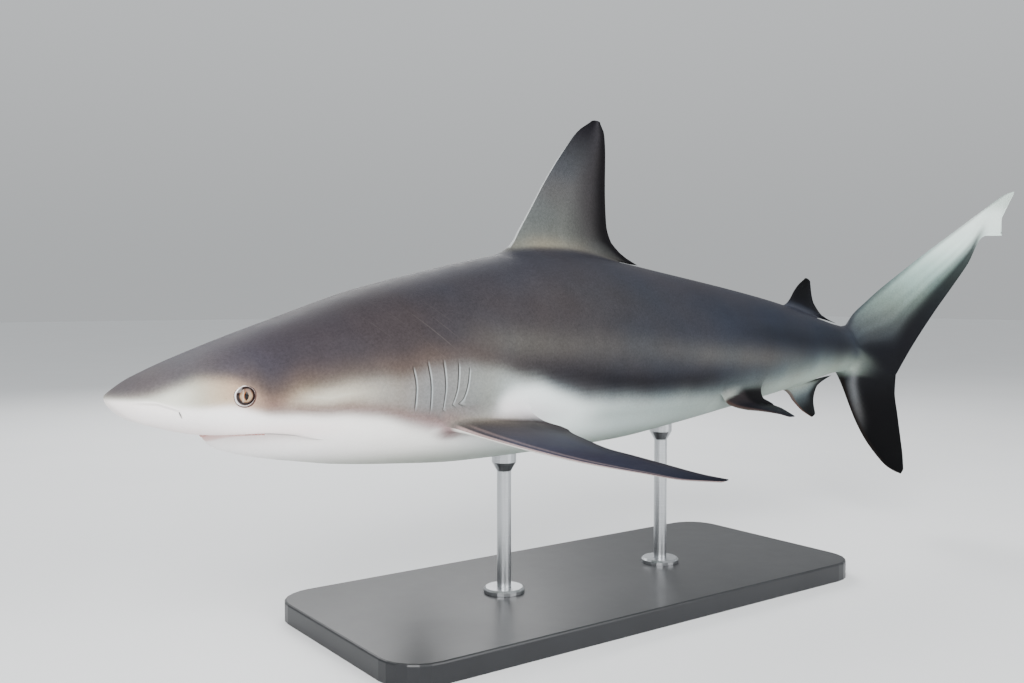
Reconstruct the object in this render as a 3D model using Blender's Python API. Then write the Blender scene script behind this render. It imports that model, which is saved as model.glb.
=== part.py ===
"""A reef shark, life size, as a still display model on a plain stand.

The shark is drawn straight first and bent afterwards. A point of the straight
body is (s, n, z): s runs from the snout tip to the tail along the body axis,
n goes out to the shark's left and z goes up, all in total lengths. bend()
carries it along the swimming curve into the model's frame, in metres: the
head looks toward -X, the shark's left side faces -Y, and the floor is z = 0.
"""

import math

import bmesh
import bpy
import numpy as np

# ---------------------------------------------------------------- driving sizes
TOTAL_LENGTH = 2.0  # snout to the tip of the laid-back tail, m
AXIS_HEIGHT = 0.38  # body axis above the floor, m
BALANCE = 0.38  # the place along the body that stands over the origin
GAP = 0.0003 / TOTAL_LENGTH  # clearance between neighbouring pieces
FIN_EDGE = 0.0006 / TOTAL_LENGTH  # half the thickness of a fin's edge

HEADING = ((0.0, 3.4), (0.25, -1.3), (0.50, -2.3), (0.70, 7.4), (0.78, -15.8), (1.0, -13.3))

# Sections of the body: place along the axis, then the value there.
HALF_WIDTH = (
    (0.0, 0.0240), (0.02, 0.0325), (0.05, 0.0420), (0.08, 0.0475), (0.125, 0.0535),
    (0.18, 0.0600), (0.24, 0.0640), (0.32, 0.0655), (0.40, 0.0625), (0.48, 0.0535),
    (0.56, 0.0410), (0.62, 0.0315), (0.68, 0.0225), (0.724, 0.0170),
)
BACK = (
    (0.0, -0.0042), (0.02, 0.0042), (0.05, 0.0164), (0.08, 0.0276), (0.125, 0.0430),
    (0.173, 0.0590), (0.224, 0.0715), (0.28, 0.0835), (0.32, 0.0895), (0.36, 0.0895),
    (0.406, 0.0835), (0.456, 0.0752), (0.533, 0.0620), (0.60, 0.0495), (0.664, 0.0355),
    (0.70, 0.0278), (0.724, 0.0240),
)
BELLY = (
    (0.0, -0.0165), (0.02, -0.0224), (0.05, -0.0304), (0.0625, -0.0330), (0.069, -0.0430),
    (0.08, -0.0462), (0.10, -0.0515), (0.125, -0.0560), (0.15, -0.0600), (0.19, -0.0638),
    (0.25, -0.0672), (0.33, -0.0655), (0.39, -0.0628), (0.456, -0.0552), (0.533, -0.0446),
    (0.60, -0.0355), (0.65, -0.0295), (0.70, -0.0228), (0.724, -0.0217),
)
WIDEST_LEVEL = (
    (0.0, -0.007), (0.05, -0.007), (0.1, -0.006), (0.2, -0.002), (0.3, 0.004),
    (0.4, 0.006), (0.55, 0.006), (0.724, 0.001),
)
BACK_SQUARENESS = ((0.0, 2.0), (0.05, 2.15), (0.12, 2.2), (0.25, 1.95), (0.4, 1.85), (0.724, 2.0))
BELLY_SQUARENESS = ((0.0, 2.0), (0.05, 2.7), (0.12, 2.4), (0.25, 2.25), (0.4, 2.3), (0.724, 2.0))
NOSE_TIP = 0.004  # where the snout begins
NOSE_AXIS = -0.0065  # height of the snout tip
NOSE_ROUND_PLAN = 0.045  # length of the rounding of the snout, seen from above
NOSE_ROUND_SIDE = 0.02  # and from the side

HEAD_END = 0.236
TRUNK_END = 0.575
TAIL_END = 0.724
SNOUT_RINGS, MOUTH_RINGS, HEAD_RINGS, TRUNK_RINGS, TAIL_RINGS = 11, 6, 12, 16, 10
UPPER_STEPS = 10  # steps round one side, from the back to the mouth's level
LOWER_STEPS = 4  # and from there to the middle of the belly

MOUTH_LEVEL = -0.0325
MOUTH_FRONT = 0.0630
MOUTH_BACK = 0.1275
JAW_TIP = 0.0636
JAW_FULL_WIDTH = 0.117  # where the jaw is as wide as the head
JAW_TIP_ROUND = 0.009
MOUTH_OPENING = 0.0008

EYE_PLACE = (0.0746, 0.0387, -0.0060)
EYE_RADIUS = 0.0105

# Gill slits from front to rear: height and place of points up each slit, from foot to top.
GILLS = (
    ((-0.0201, 0.1871), (-0.0061, 0.1876), (0.0074, 0.1854)),
    ((-0.0219, 0.1990), (-0.0059, 0.1987), (0.0098, 0.1966)),
    ((-0.0227, 0.2086), (-0.0060, 0.2096), (0.0104, 0.2083)),
    ((-0.0208, 0.2149), (-0.0060, 0.2190), (0.0093, 0.2200)),
    ((-0.0200, 0.2178), (-0.0158, 0.2234), (-0.0040, 0.2272), (0.0059, 0.2285)),
)
GILL_HALF_WIDTH = 0.0006
GILL_DEPTH = 0.0035
GILL_STEPS = 5

NOSTRIL_PLACE = (0.0362, 0.0290)
NOSTRIL_LENGTH = 0.0085
NOSTRIL_DEPTH = 0.004
NOSTRIL_HALF_WIDTH = 0.0011
NOSTRIL_SLANT = 0.35  # how far back the slot runs for each length outward

# Fins: each row is one chord, leading point then trailing point, from root to tip.
# Upright fins are (s, z) pairs; paired fins are (s, n, z) triples.
FIRST_DORSAL = (
    ((0.300, 0.070), (0.403, 0.070)),
    ((0.3050, 0.0925), (0.4350, 0.0815)),
    ((0.3125, 0.1045), (0.4085, 0.0950)),
    ((0.3235, 0.1215), (0.4008, 0.1140)),
    ((0.3395, 0.1458), (0.3992, 0.1430)),
    ((0.3585, 0.1712), (0.3992, 0.1690)),
    ((0.3740, 0.1880), (0.3975, 0.1865)),
    ((0.3865, 0.1958), (0.3935, 0.1953)),
)
SECOND_DORSAL = (
    ((0.621, 0.030), (0.671, 0.025)),
    ((0.6235, 0.0465), (0.7155, 0.0290)),
    ((0.6320, 0.0545), (0.6790, 0.0395)),
    ((0.6440, 0.0650), (0.6685, 0.0550)),
    ((0.6550, 0.0710), (0.6655, 0.0675)),
)
ANAL = (
    ((0.618, -0.022), (0.668, -0.018)),
    ((0.6235, -0.0340), (0.7080, -0.0225)),
    ((0.6350, -0.0440), (0.6800, -0.0345)),
    ((0.6530, -0.0562), (0.6740, -0.0480)),
    ((0.6700, -0.0638), (0.6775, -0.0605)),
)
PECTORAL = (
    ((0.2075, 0.040, -0.0290), (0.274, 0.038, -0.0310)),
    ((0.2160, 0.0595, -0.0345), (0.3140, 0.0640, -0.0430)),
    ((0.2330, 0.0790, -0.0412), (0.3130, 0.0860, -0.0475)),
    ((0.2530, 0.1030, -0.0483), (0.3130, 0.1080, -0.0508)),
    ((0.2760, 0.1300, -0.0550), (0.3165, 0.1340, -0.0532)),
    ((0.3010, 0.1590, -0.0600), (0.3225, 0.1620, -0.0565)),
    ((0.3210, 0.1815, -0.0633), (0.3315, 0.1845, -0.0602)),
    ((0.3340, 0.1965, -0.0632), (0.3385, 0.1985, -0.0618)),
)
PELVIC = (
    ((0.490, 0.018, -0.0300), (0.548, 0.010, -0.0280)),
    ((0.4955, 0.0340, -0.0415), (0.5760, 0.0220, -0.0410)),
    ((0.5060, 0.0430, -0.0440), (0.5700, 0.0320, -0.0428)),
    ((0.5200, 0.0550, -0.0458), (0.5600, 0.0480, -0.0448)),
    ((0.5330, 0.0660, -0.0468), (0.5510, 0.0635, -0.0463)),
    ((0.5400, 0.0720, -0.0472), (0.5455, 0.0735, -0.0470)),
)
FIN_ROUND_STEPS = 8  # steps along one face of a fin's section
# Per fin: the number of chords, then the half thickness over the chord.
FIRST_DORSAL_BUILD = (15, 0.045)
SECOND_DORSAL_BUILD = (10, 0.05)
ANAL_BUILD = (10, 0.05)
PECTORAL_BUILD = (14, 0.045)
PELVIC_BUILD = (10, 0.045)

# The tail fin's lobes, parted along a line from the root to the fork, which is
# the trailing point of rows 0 to TAIL_FORK_ROW.
TAIL_UPPER = (
    ((0.724, 0.0240), (0.724, -0.0061)),
    ((0.733, 0.0250), (0.742, -0.0105)),
    ((0.744, 0.0366), (0.760, -0.0160)),
    ((0.760, 0.0482), (0.780, -0.0220)),
    ((0.780, 0.0628), (0.801, -0.0280)),
    ((0.806, 0.0800), (0.820, -0.0004)),
    ((0.839, 0.1013), (0.851, 0.0386)),
    ((0.8715, 0.1212), (0.8725, 0.0630)),
    ((0.900, 0.1385), (0.894, 0.0879)),
    ((0.924, 0.1528), (0.919, 0.1200)),
    ((0.936, 0.1600), (0.943, 0.1208)),
    ((0.9455, 0.1650), (0.940, 0.1335)),
    ((0.9535, 0.1680), (0.9485, 0.1500)),
    ((0.9595, 0.1692), (0.9580, 0.1650)),
)
TAIL_LOWER = (
    ((0.724, -0.0217), (0.724, -0.0061)),
    ((0.7270, -0.0310), (0.742, -0.0105)),
    ((0.7330, -0.0440), (0.760, -0.0160)),
    ((0.7415, -0.0605), (0.780, -0.0220)),
    ((0.7510, -0.0770), (0.801, -0.0280)),
    ((0.7630, -0.0945), (0.8000, -0.0460)),
    ((0.7760, -0.1098), (0.8040, -0.0700)),
    ((0.7900, -0.1232), (0.8085, -0.0950)),
    ((0.8025, -0.1302), (0.8118, -0.1150)),
    ((0.8085, -0.1325), (0.8128, -0.1270)),
)
TAIL_FORK_ROW = 4
TAIL_THICKNESS = 0.05  # half thickness over the chord, behind the root

STAND_SIZE = (0.92, 0.40, 0.03)
STAND_CORNER = 0.06
ROD_PLACES = (("stand_rod_front", 0.300), ("stand_rod_rear", 0.462))
STAND_EDGE = 0.003  # bevel round the top of the board
CLEARANCE = 0.0003  # between the board and what stands on it
ROD_RADIUS = 0.011
FLANGE_RADIUS = 0.032
FLANGE_EDGE = 0.003
FLANGE_HEIGHT = 0.008
PAD_RADIUS = 0.019
PAD_HEIGHT = 0.014


# ---------------------------------------------------------------- curves
def eased(table, x):
    """A smooth curve through the table's points that never overshoots them (monotone cubic)."""
    knots, values = np.array(table).T
    step = np.diff(knots)
    rise = np.diff(values) / step
    slope = np.zeros(len(knots))
    same_way = rise[:-1] * rise[1:] > 0
    mean = 2 * rise[:-1] * rise[1:] / np.where(same_way, rise[:-1] + rise[1:], 1.0)
    slope[1:-1] = np.where(same_way, mean, 0.0)
    slope[0], slope[-1] = rise[0], rise[-1]
    x = np.asarray(x, float)
    i = np.clip(np.searchsorted(knots, x) - 1, 0, len(step) - 1)
    t = np.clip((x - knots[i]) / step[i], 0.0, 1.0)
    start = (1 + 2 * t) * (1 - t) ** 2 * values[i] + t * (1 - t) ** 2 * step[i] * slope[i]
    return start + t * t * (3 - 2 * t) * values[i + 1] - t * t * (1 - t) * step[i] * slope[i + 1]


def along(points, t):
    """The place at each t from 0 to 1 on a smooth line through points that share t evenly."""
    points = np.array(points, float)
    knots = np.linspace(0.0, 1.0, len(points))
    columns = [eased(np.stack([knots, column], 1), t) for column in points.T]
    return np.stack(columns, -1)


def swimming_curve():
    """The bent axis: places along it, its x and y in lengths, and its heading in radians."""
    s = np.linspace(0.0, 1.0, 501)
    heading = np.radians(eased(HEADING, s))
    step = s[1] - s[0]
    x = np.concatenate([[0.0], np.cumsum(np.cos(heading[:-1] + np.diff(heading) / 2)) * step])
    y = np.concatenate([[0.0], np.cumsum(np.sin(heading[:-1] + np.diff(heading) / 2)) * step])
    x -= np.interp(BALANCE, s, x)
    y -= np.interp(BALANCE, s, y)
    return s, x, y, heading


AXIS_S, AXIS_X, AXIS_Y, AXIS_HEADING = swimming_curve()


def bend(points):
    """Points (s, n, z) of the straight shark, carried onto the swimming curve, in metres."""
    s, n, z = np.asarray(points, float).T
    heading = np.interp(s, AXIS_S, AXIS_HEADING)
    x = np.interp(s, AXIS_S, AXIS_X) + n * np.sin(heading)
    y = np.interp(s, AXIS_S, AXIS_Y) - n * np.cos(heading)
    return np.stack([x, y, z], -1) * TOTAL_LENGTH + np.array([0.0, 0.0, AXIS_HEIGHT])


# ---------------------------------------------------------------- materials
def material(name, colour, roughness, metallic=0.0):
    """A Principled material of one colour, given in sRGB from 0 to 255."""
    shade = [((c / 255 + 0.055) / 1.055) ** 2.4 for c in colour]
    made = bpy.data.materials.new(name)
    made.use_nodes = True
    shader = made.node_tree.nodes["Principled BSDF"]
    shader.inputs["Base Color"].default_value = (*shade, 1.0)
    shader.inputs["Roughness"].default_value = roughness
    shader.inputs["Metallic"].default_value = metallic
    made.diffuse_color = (*shade, 1.0)
    return made


# ---------------------------------------------------------------- meshes
def add_object(name, mesh, finish):
    piece = bpy.data.objects.new(name, mesh)
    bpy.context.scene.collection.objects.link(piece)
    mesh.materials.append(finish)
    return piece


def loft(name, rings, finish, in_lengths=True):
    """A closed body through rings of equal count, with a flat face on each end."""
    shape = bmesh.new()
    loops = []
    for ring in rings:
        places = bend(ring) if in_lengths else ring
        loops.append([shape.verts.new(place) for place in places])
    for first, second in zip(loops, loops[1:]):
        for i in range(len(first)):
            k = (i + 1) % len(first)
            shape.faces.new((first[i], first[k], second[k], second[i]))
    shape.faces.new(loops[0][::-1])
    shape.faces.new(loops[-1])
    bmesh.ops.recalc_face_normals(shape, faces=shape.faces)
    if shape.calc_volume(signed=True) < 0:
        bmesh.ops.reverse_faces(shape, faces=shape.faces)
    mesh = bpy.data.meshes.new(name)
    shape.to_mesh(mesh)
    shape.free()
    mesh.shade_smooth()
    mesh.set_sharp_from_angle(angle=math.radians(40))
    return add_object(name, mesh, finish)


def make_cutter(piece):
    piece.hide_render = True
    piece.display_type = "WIRE"
    return piece


def cut(piece, cutter):
    """Takes the cutter's shape out of the piece."""
    modifier = piece.modifiers.new("cut_" + cutter.name, "BOOLEAN")
    modifier.operation = "DIFFERENCE"
    modifier.solver = "EXACT"
    modifier.object = cutter
    return piece


# ---------------------------------------------------------------- body sections
def power(x, exponent):
    return np.sign(x) * np.abs(x) ** exponent


def rounding(s, length):
    """0 at the snout tip, growing like a quarter circle to 1 at the given length."""
    return np.sqrt(1 - (1 - np.clip(s / length, 0.0, 1.0)) ** 2)


def section(s, grow=0.0):
    """Half width, back, belly, widest level and the two squarenesses of the body at s."""
    width = float(eased(HALF_WIDTH, s) * rounding(s - NOSE_TIP, NOSE_ROUND_PLAN)) + grow
    nose = float(rounding(s - NOSE_TIP, NOSE_ROUND_SIDE))
    back = NOSE_AXIS + float(eased(BACK, s) - NOSE_AXIS) * nose + grow
    belly = NOSE_AXIS + float(eased(BELLY, s) - NOSE_AXIS) * nose - grow
    widest = NOSE_AXIS + float(eased(WIDEST_LEVEL, s) - NOSE_AXIS) * nose
    upper = float(eased(BACK_SQUARENESS, s))
    lower = float(eased(BELLY_SQUARENESS, s))
    return width, back, belly, widest, upper, lower


def outline_point(profile, angle):
    """(n, z) on a section at an angle from the back (0) to the belly (pi)."""
    width, back, belly, widest, upper, lower = profile
    squareness = np.where(np.cos(angle) >= 0, upper, lower)
    reach = np.where(np.cos(angle) >= 0, back - widest, widest - belly)
    n = width * power(np.sin(angle), 2 / squareness)
    z = widest + reach * power(np.cos(angle), 2 / squareness)
    return n, z


def angle_at_level(profile, level):
    """The angle at which a section's lower half reaches a level."""
    share = np.clip((profile[3] - level) / (profile[3] - profile[2]), 0.0, 0.999)
    return math.pi - math.acos(share ** (profile[5] / 2))


def body_ring(s, grow=0.0, roof=None):
    """One ring of the body; with a roof level, its underside is flat at that level."""
    profile = section(s, grow)
    lowest = profile[3] + 0.93 * (profile[2] - profile[3])
    level = max(MOUTH_LEVEL if roof is None else roof, lowest)
    corner = angle_at_level(profile, level)
    upper = np.linspace(0.0, corner, UPPER_STEPS + 1)
    n, z = outline_point(profile, upper)
    if roof is None:
        lower_n, lower_z = outline_point(profile, np.linspace(corner, math.pi, LOWER_STEPS + 1)[1:])
    else:
        lower_n = n[-1] * np.linspace(1.0, 0.0, LOWER_STEPS + 1)[1:]
        lower_z = np.full(LOWER_STEPS, z[-1])
    n = np.concatenate([n, lower_n])
    z = np.concatenate([z, lower_z])
    n[0] = n[-1] = 0.0
    n = np.concatenate([n, -n[-2:0:-1]])
    z = np.concatenate([z, z[-2:0:-1]])
    return np.stack([np.full(len(n), s), n, z], 1)


def half_width_at(s, z):
    """How far out the body's surface is at a place and a height."""
    width, back, belly, widest, upper, lower = section(s)
    reach, squareness = (back - widest, upper) if z > widest else (widest - belly, lower)
    return width * (1 - min(abs((z - widest) / reach), 1.0) ** squareness) ** (1 / squareness)


def belly_height_at(s, n):
    """The height of the body's underside at a place and a distance out."""
    width, _, belly, widest, _, lower = section(s)
    return widest - (widest - belly) * (1 - min(abs(n / width), 1.0) ** lower) ** (1 / lower)


# Where the rings lie, close together at the snout.
SNOUT_PLACES = NOSE_TIP + (MOUTH_FRONT - NOSE_TIP) * np.linspace(0.04, 1.0, SNOUT_RINGS) ** 1.7
MOUTH_PLACES = np.linspace(MOUTH_FRONT, MOUTH_BACK, MOUTH_RINGS)
HEAD_PLACES = np.linspace(MOUTH_BACK, HEAD_END, HEAD_RINGS)
TRUNK_PLACES = np.linspace(HEAD_END, TRUNK_END, TRUNK_RINGS)
TAIL_PLACES = np.linspace(TRUNK_END, TAIL_END, TAIL_RINGS)


# ---------------------------------------------------------------- head
def make_head(skin):
    """The head from the snout to the last gill slit, without the lower jaw."""
    rings = [body_ring(s) for s in SNOUT_PLACES[:-1]]
    rings += [body_ring(s, roof=MOUTH_LEVEL) for s in MOUTH_PLACES]
    rings += [body_ring(s) for s in (MOUTH_BACK + GAP, *HEAD_PLACES[1:-1], HEAD_END - GAP / 2)]
    return loft("head", rings, skin)


def make_lower_jaw(skin):
    """The lower jaw: a parabola in plan, rounded at the chin, flat along the lip."""
    rings = []
    lip = MOUTH_LEVEL - MOUTH_OPENING
    chin_places = JAW_TIP + np.array([0.0006, 0.0025])
    for s in np.concatenate([chin_places, np.linspace(0.070, MOUTH_BACK - GAP, 8)]):
        profile = section(s)
        chin = math.sqrt(1 - (1 - min(1.0, (s - JAW_TIP) / JAW_TIP_ROUND)) ** 2)
        spread = math.sqrt(min(1.0, (s - JAW_TIP) / (JAW_FULL_WIDTH - JAW_TIP)))
        n, z = outline_point(profile, np.linspace(angle_at_level(profile, lip), math.pi, 8))
        n[-1] = 0.0
        n = n * spread
        z = lip + (z - lip) * chin
        n = np.concatenate([n, -n[-2::-1], [-n[0] / 2, 0.0, n[0] / 2]])
        z = np.concatenate([z, z[-2::-1], [lip, lip, lip]])
        rings.append(np.stack([np.full(len(n), s), n, z], 1))
    return loft("lower_jaw", rings, skin)


def ball(name, place, radius, finish):
    mesh = bpy.data.meshes.new(name)
    shape = bmesh.new()
    bmesh.ops.create_uvsphere(shape, u_segments=18, v_segments=10, radius=radius * TOTAL_LENGTH)
    bmesh.ops.translate(shape, vec=bend([place])[0], verts=shape.verts)
    shape.to_mesh(mesh)
    shape.free()
    mesh.shade_smooth()
    return add_object(name, mesh, finish)


def make_eyes(head, finish):
    for side, sign in (("left", 1), ("right", -1)):
        s, n, z = EYE_PLACE
        socket = ball("eye_socket_" + side, (s, sign * n, z), EYE_RADIUS + GAP, finish)
        cut(head, make_cutter(socket))
        ball("eye_" + side, (s, sign * n, z), EYE_RADIUS, finish)


def groove(name, path, half_width, depth, sign, finish):
    """A thin cutter that follows a path (s, z) on the flank and reaches a depth into it."""
    rings = []
    for i, (s, z) in enumerate(path):
        wall = half_width_at(s, z)
        thin = half_width * (0.35 if i in (0, len(path) - 1) else 1.0)
        inner, outer = wall - depth, wall + 2 * depth
        corners = ((s - thin, inner), (s + thin, inner), (s + thin, outer), (s - thin, outer))
        rings.append(np.array([(a, sign * n, z) for a, n in corners]))
    return make_cutter(loft(name, rings, finish))


def cut_gills(head, finish):
    """Five upright slits on each side, bowed back, the last two drawing in at the foot."""
    for sign, side in ((1, "left"), (-1, "right")):
        for number, slit in enumerate(GILLS):
            z = np.linspace(slit[-1][0], slit[0][0], GILL_STEPS)
            path = np.stack([eased(slit, z), z], 1)
            name = f"gill_{side}_{number + 1}"
            cut(head, groove(name, path, GILL_HALF_WIDTH, GILL_DEPTH, sign, finish))


def cut_nostrils(head, finish):
    """A slanting slot on each side of the underside of the snout."""
    s, n = NOSTRIL_PLACE
    for sign, side in ((1, "left"), (-1, "right")):
        rings = []
        for t in (-0.5, 0.0, 0.5):
            here = s + NOSTRIL_SLANT * t * NOSTRIL_LENGTH
            out = n + t * NOSTRIL_LENGTH
            half = NOSTRIL_HALF_WIDTH * (1 - abs(t))
            inner = belly_height_at(here, out) + NOSTRIL_DEPTH
            outer = inner - 3 * NOSTRIL_DEPTH
            corners = (
                (here - half, inner), (here + half, inner),
                (here + half, outer), (here - half, outer),
            )
            rings.append(np.array([(a, sign * out, z) for a, z in corners]))
        cut(head, make_cutter(loft("nostril_" + side, rings, finish)))


# ---------------------------------------------------------------- trunk and tail
def make_trunk(skin):
    places = (HEAD_END + GAP / 2, *TRUNK_PLACES[1:-1], TRUNK_END - GAP / 2)
    return loft("trunk", [body_ring(s) for s in places], skin)


def make_tail_stalk(skin):
    places = (TRUNK_END + GAP / 2, *TAIL_PLACES[1:-1], TAIL_END - GAP / 2)
    return loft("tail_stalk", [body_ring(s) for s in places], skin)


def make_body_cutter(skin):
    """The whole body, a gap larger all round: it shapes the roots of the fins and rods."""
    places = np.concatenate([
        SNOUT_PLACES[:-1], MOUTH_PLACES[:-1], HEAD_PLACES[:-1], TRUNK_PLACES[:-1], TAIL_PLACES,
    ])
    return make_cutter(loft("body_space", [body_ring(s, grow=1.4 * GAP) for s in places], skin))


# ---------------------------------------------------------------- fins
def blade(x):
    """Half thickness across a fin's chord, from 0 at its front through 1 to 0 at its rear."""
    return 2.6 * np.sqrt(x) * (1 - x) * (1 - 0.28 * x)


def fin_rings(rows, build, flat_normal):
    """Closed sections of a fin, from root to tip."""
    chords, thickness = build
    t = np.linspace(0.0, 1.0, chords)
    lead = along([row[0] for row in rows], t)
    trail = along([row[1] for row in rows], t)
    x = 0.5 - 0.5 * np.cos(np.linspace(0.0, math.pi, FIN_ROUND_STEPS + 1))
    rings = []
    for a, b in zip(lead, trail):
        chord = b - a
        half = np.maximum(thickness * np.linalg.norm(chord) * blade(x), FIN_EDGE)
        middle = a + x[:, None] * chord
        up = middle + half[:, None] * flat_normal
        down = middle - half[:, None] * flat_normal
        rings.append(np.concatenate([up, down[::-1]]))
    return rings


def make_upright_fin(name, rows, build, body, finish):
    rows = [tuple((s, 0.0, z) for s, z in row) for row in rows]
    rings = fin_rings(rows, build, np.array([0.0, 1.0, 0.0]))
    return cut(loft(name, rings, finish), body)


def make_paired_fins(name, rows, build, body, finish):
    """A left and a right fin; each blade leans out and down from its root."""
    front = np.array(rows[1][0])
    tip = np.array(rows[-1][0])
    rear = np.array(rows[1][1])
    for side, sign in (("left", 1), ("right", -1)):
        mirror = np.array([1.0, sign, 1.0])
        normal = np.cross(rear - front, tip - front)
        normal = normal / np.linalg.norm(normal) * mirror
        turned = [tuple(np.array(end) * mirror for end in row) for row in rows]
        rings = fin_rings(turned, build, normal)
        cut(loft(f"{name}_{side}", rings, finish), body)


def make_tail_lobe(name, rows, shift, finish):
    """One lobe of the tail fin: as thick as the tail stalk at its root, then a blade."""
    x = 0.5 - 0.5 * np.cos(np.linspace(0.0, math.pi, FIN_ROUND_STEPS + 1))
    (_, root_lead), (_, root_trail) = rows[0]
    root_heights = root_lead + x * (root_trail - root_lead)
    stalk = np.array([half_width_at(TAIL_END, z) for z in root_heights])
    rings = []
    for row, (lead, trail) in enumerate(rows):
        a = np.array(lead)
        b = np.array(trail)
        if row == 0:
            a[0] += GAP / 2
            b[0] += GAP / 2
        if row <= TAIL_FORK_ROW:
            b[1] += shift
        grown = min(row / TAIL_FORK_ROW, 1.0)
        fin = TAIL_THICKNESS * np.linalg.norm(b - a) * blade(x * (0.6 + 0.4 * grown))
        fade = grown * grown * (3 - 2 * grown)
        half = np.maximum(stalk * (1 - fade) + fin * fade, FIN_EDGE)
        flat = a + x[:, None] * (b - a)
        left = np.stack([flat[:, 0], half, flat[:, 1]], 1)
        right = left * (1.0, -1.0, 1.0)
        rings.append(np.concatenate([left, right[::-1]]))
    return loft(name, rings, finish)


def make_tail_fin(finish):
    make_tail_lobe("tail_fin_upper", TAIL_UPPER, 0.7 * GAP, finish)
    make_tail_lobe("tail_fin_lower", TAIL_LOWER, -0.7 * GAP, finish)


# ---------------------------------------------------------------- stand
def make_base(finish):
    """A flat plate with rounded corners and softened edges, its underside on the floor."""
    length, width, height = STAND_SIZE
    shape = bmesh.new()
    corner = np.linspace(0.0, math.pi / 2, 7)
    outline = []
    for quarter, (x, y) in enumerate(((1, 1), (-1, 1), (-1, -1), (1, -1))):
        for angle in corner + quarter * math.pi / 2:
            outline.append((
                x * (length / 2 - STAND_CORNER) + STAND_CORNER * math.cos(angle),
                y * (width / 2 - STAND_CORNER) + STAND_CORNER * math.sin(angle),
                0.0,
            ))
    face = shape.faces.new([shape.verts.new(point) for point in outline])
    raised = bmesh.ops.extrude_face_region(shape, geom=[face])
    top = [item for item in raised["geom"] if isinstance(item, bmesh.types.BMVert)]
    bmesh.ops.translate(shape, vec=(0.0, 0.0, height), verts=top)
    bmesh.ops.recalc_face_normals(shape, faces=shape.faces)
    rim = [edge for edge in shape.edges if all(vert.co.z > height / 2 for vert in edge.verts)]
    bmesh.ops.bevel(shape, geom=rim, offset=STAND_EDGE, segments=2, affect="EDGES", profile=0.5)
    mesh = bpy.data.meshes.new("stand_base")
    shape.to_mesh(mesh)
    shape.free()
    return add_object("stand_base", mesh, finish)


def make_rod(name, s, body, finish):
    """A turned rod with a foot flange and a pad that is shaped to the belly."""
    x, y, z = bend([(s, 0.0, section(s)[2])])[0]
    foot = STAND_SIZE[2] + CLEARANCE
    top = foot + FLANGE_HEIGHT
    profile = (
        (FLANGE_RADIUS, foot), (FLANGE_RADIUS, top - FLANGE_EDGE),
        (FLANGE_RADIUS - FLANGE_EDGE, top), (ROD_RADIUS, top),
        (ROD_RADIUS, z - 2 * PAD_HEIGHT), (PAD_RADIUS, z - PAD_HEIGHT), (PAD_RADIUS, z + PAD_HEIGHT),
    )
    turn = np.linspace(0.0, 2 * math.pi, 20, endpoint=False)
    rings = [
        np.stack([x + radius * np.cos(turn), y + radius * np.sin(turn), 0 * turn + level], 1)
        for radius, level in profile
    ]
    return cut(loft(name, rings, finish, in_lengths=False), body)


# ---------------------------------------------------------------- the model
def clear_scene():
    for item in list(bpy.data.objects):
        bpy.data.objects.remove(item, do_unlink=True)


def main():
    clear_scene()
    back_skin = material("shark_skin", (112, 108, 112), 0.45)
    pale_skin = material("shark_skin_pale", (206, 208, 200), 0.45)
    fin_skin = material("fin_skin", (74, 76, 84), 0.5)
    eye = material("eye", (196, 190, 172), 0.1)
    board = material("stand_board", (44, 44, 46), 0.5)
    steel = material("stand_steel", (150, 152, 156), 0.3, 1.0)

    head = make_head(back_skin)
    make_lower_jaw(pale_skin)
    make_eyes(head, eye)
    cut_gills(head, back_skin)
    cut_nostrils(head, back_skin)
    make_trunk(back_skin)
    make_tail_stalk(back_skin)
    body = make_body_cutter(back_skin)
    make_upright_fin("first_dorsal_fin", FIRST_DORSAL, FIRST_DORSAL_BUILD, body, fin_skin)
    make_upright_fin("second_dorsal_fin", SECOND_DORSAL, SECOND_DORSAL_BUILD, body, fin_skin)
    make_upright_fin("anal_fin", ANAL, ANAL_BUILD, body, fin_skin)
    make_paired_fins("pectoral_fin", PECTORAL, PECTORAL_BUILD, body, fin_skin)
    make_paired_fins("pelvic_fin", PELVIC, PELVIC_BUILD, body, fin_skin)
    make_tail_fin(fin_skin)
    make_base(board)
    for name, s in ROD_PLACES:
        make_rod(name, s, body, steel)


main()
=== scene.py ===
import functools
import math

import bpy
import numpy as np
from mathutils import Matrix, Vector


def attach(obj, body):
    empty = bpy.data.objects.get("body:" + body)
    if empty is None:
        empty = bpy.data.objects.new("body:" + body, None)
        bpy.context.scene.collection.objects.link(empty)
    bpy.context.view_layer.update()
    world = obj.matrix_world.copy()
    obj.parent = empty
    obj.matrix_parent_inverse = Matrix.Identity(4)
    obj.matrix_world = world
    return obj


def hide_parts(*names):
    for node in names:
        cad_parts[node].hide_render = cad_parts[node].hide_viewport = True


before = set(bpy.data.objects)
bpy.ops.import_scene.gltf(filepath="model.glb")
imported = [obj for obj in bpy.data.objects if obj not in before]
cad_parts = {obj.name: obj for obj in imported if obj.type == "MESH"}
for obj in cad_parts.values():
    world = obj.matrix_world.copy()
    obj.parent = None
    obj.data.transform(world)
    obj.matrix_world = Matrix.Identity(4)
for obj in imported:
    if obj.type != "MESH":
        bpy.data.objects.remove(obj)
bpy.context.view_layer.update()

# Looks of a life-size reef shark model on its display stand.
# One continuous skin covers the body and all the fins. A point of the straight
# shark is (s, n, z): s runs from the snout tip along the axis, n goes out to the
# shark's left and z up, in total lengths. bend() carries it onto the swimming
# curve, in metres, as the solid model does.

# ---------------------------------------------------------------- sizes
TOTAL_LENGTH = 2.0
AXIS_HEIGHT = 0.38
BALANCE = 0.38
MM = 0.001 / TOTAL_LENGTH  # one millimetre, in total lengths
HEADING = ((0.0, 3.4), (0.25, -1.3), (0.5, -2.3), (0.7, 7.4), (0.78, -15.8), (1.0, -13.3))


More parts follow.
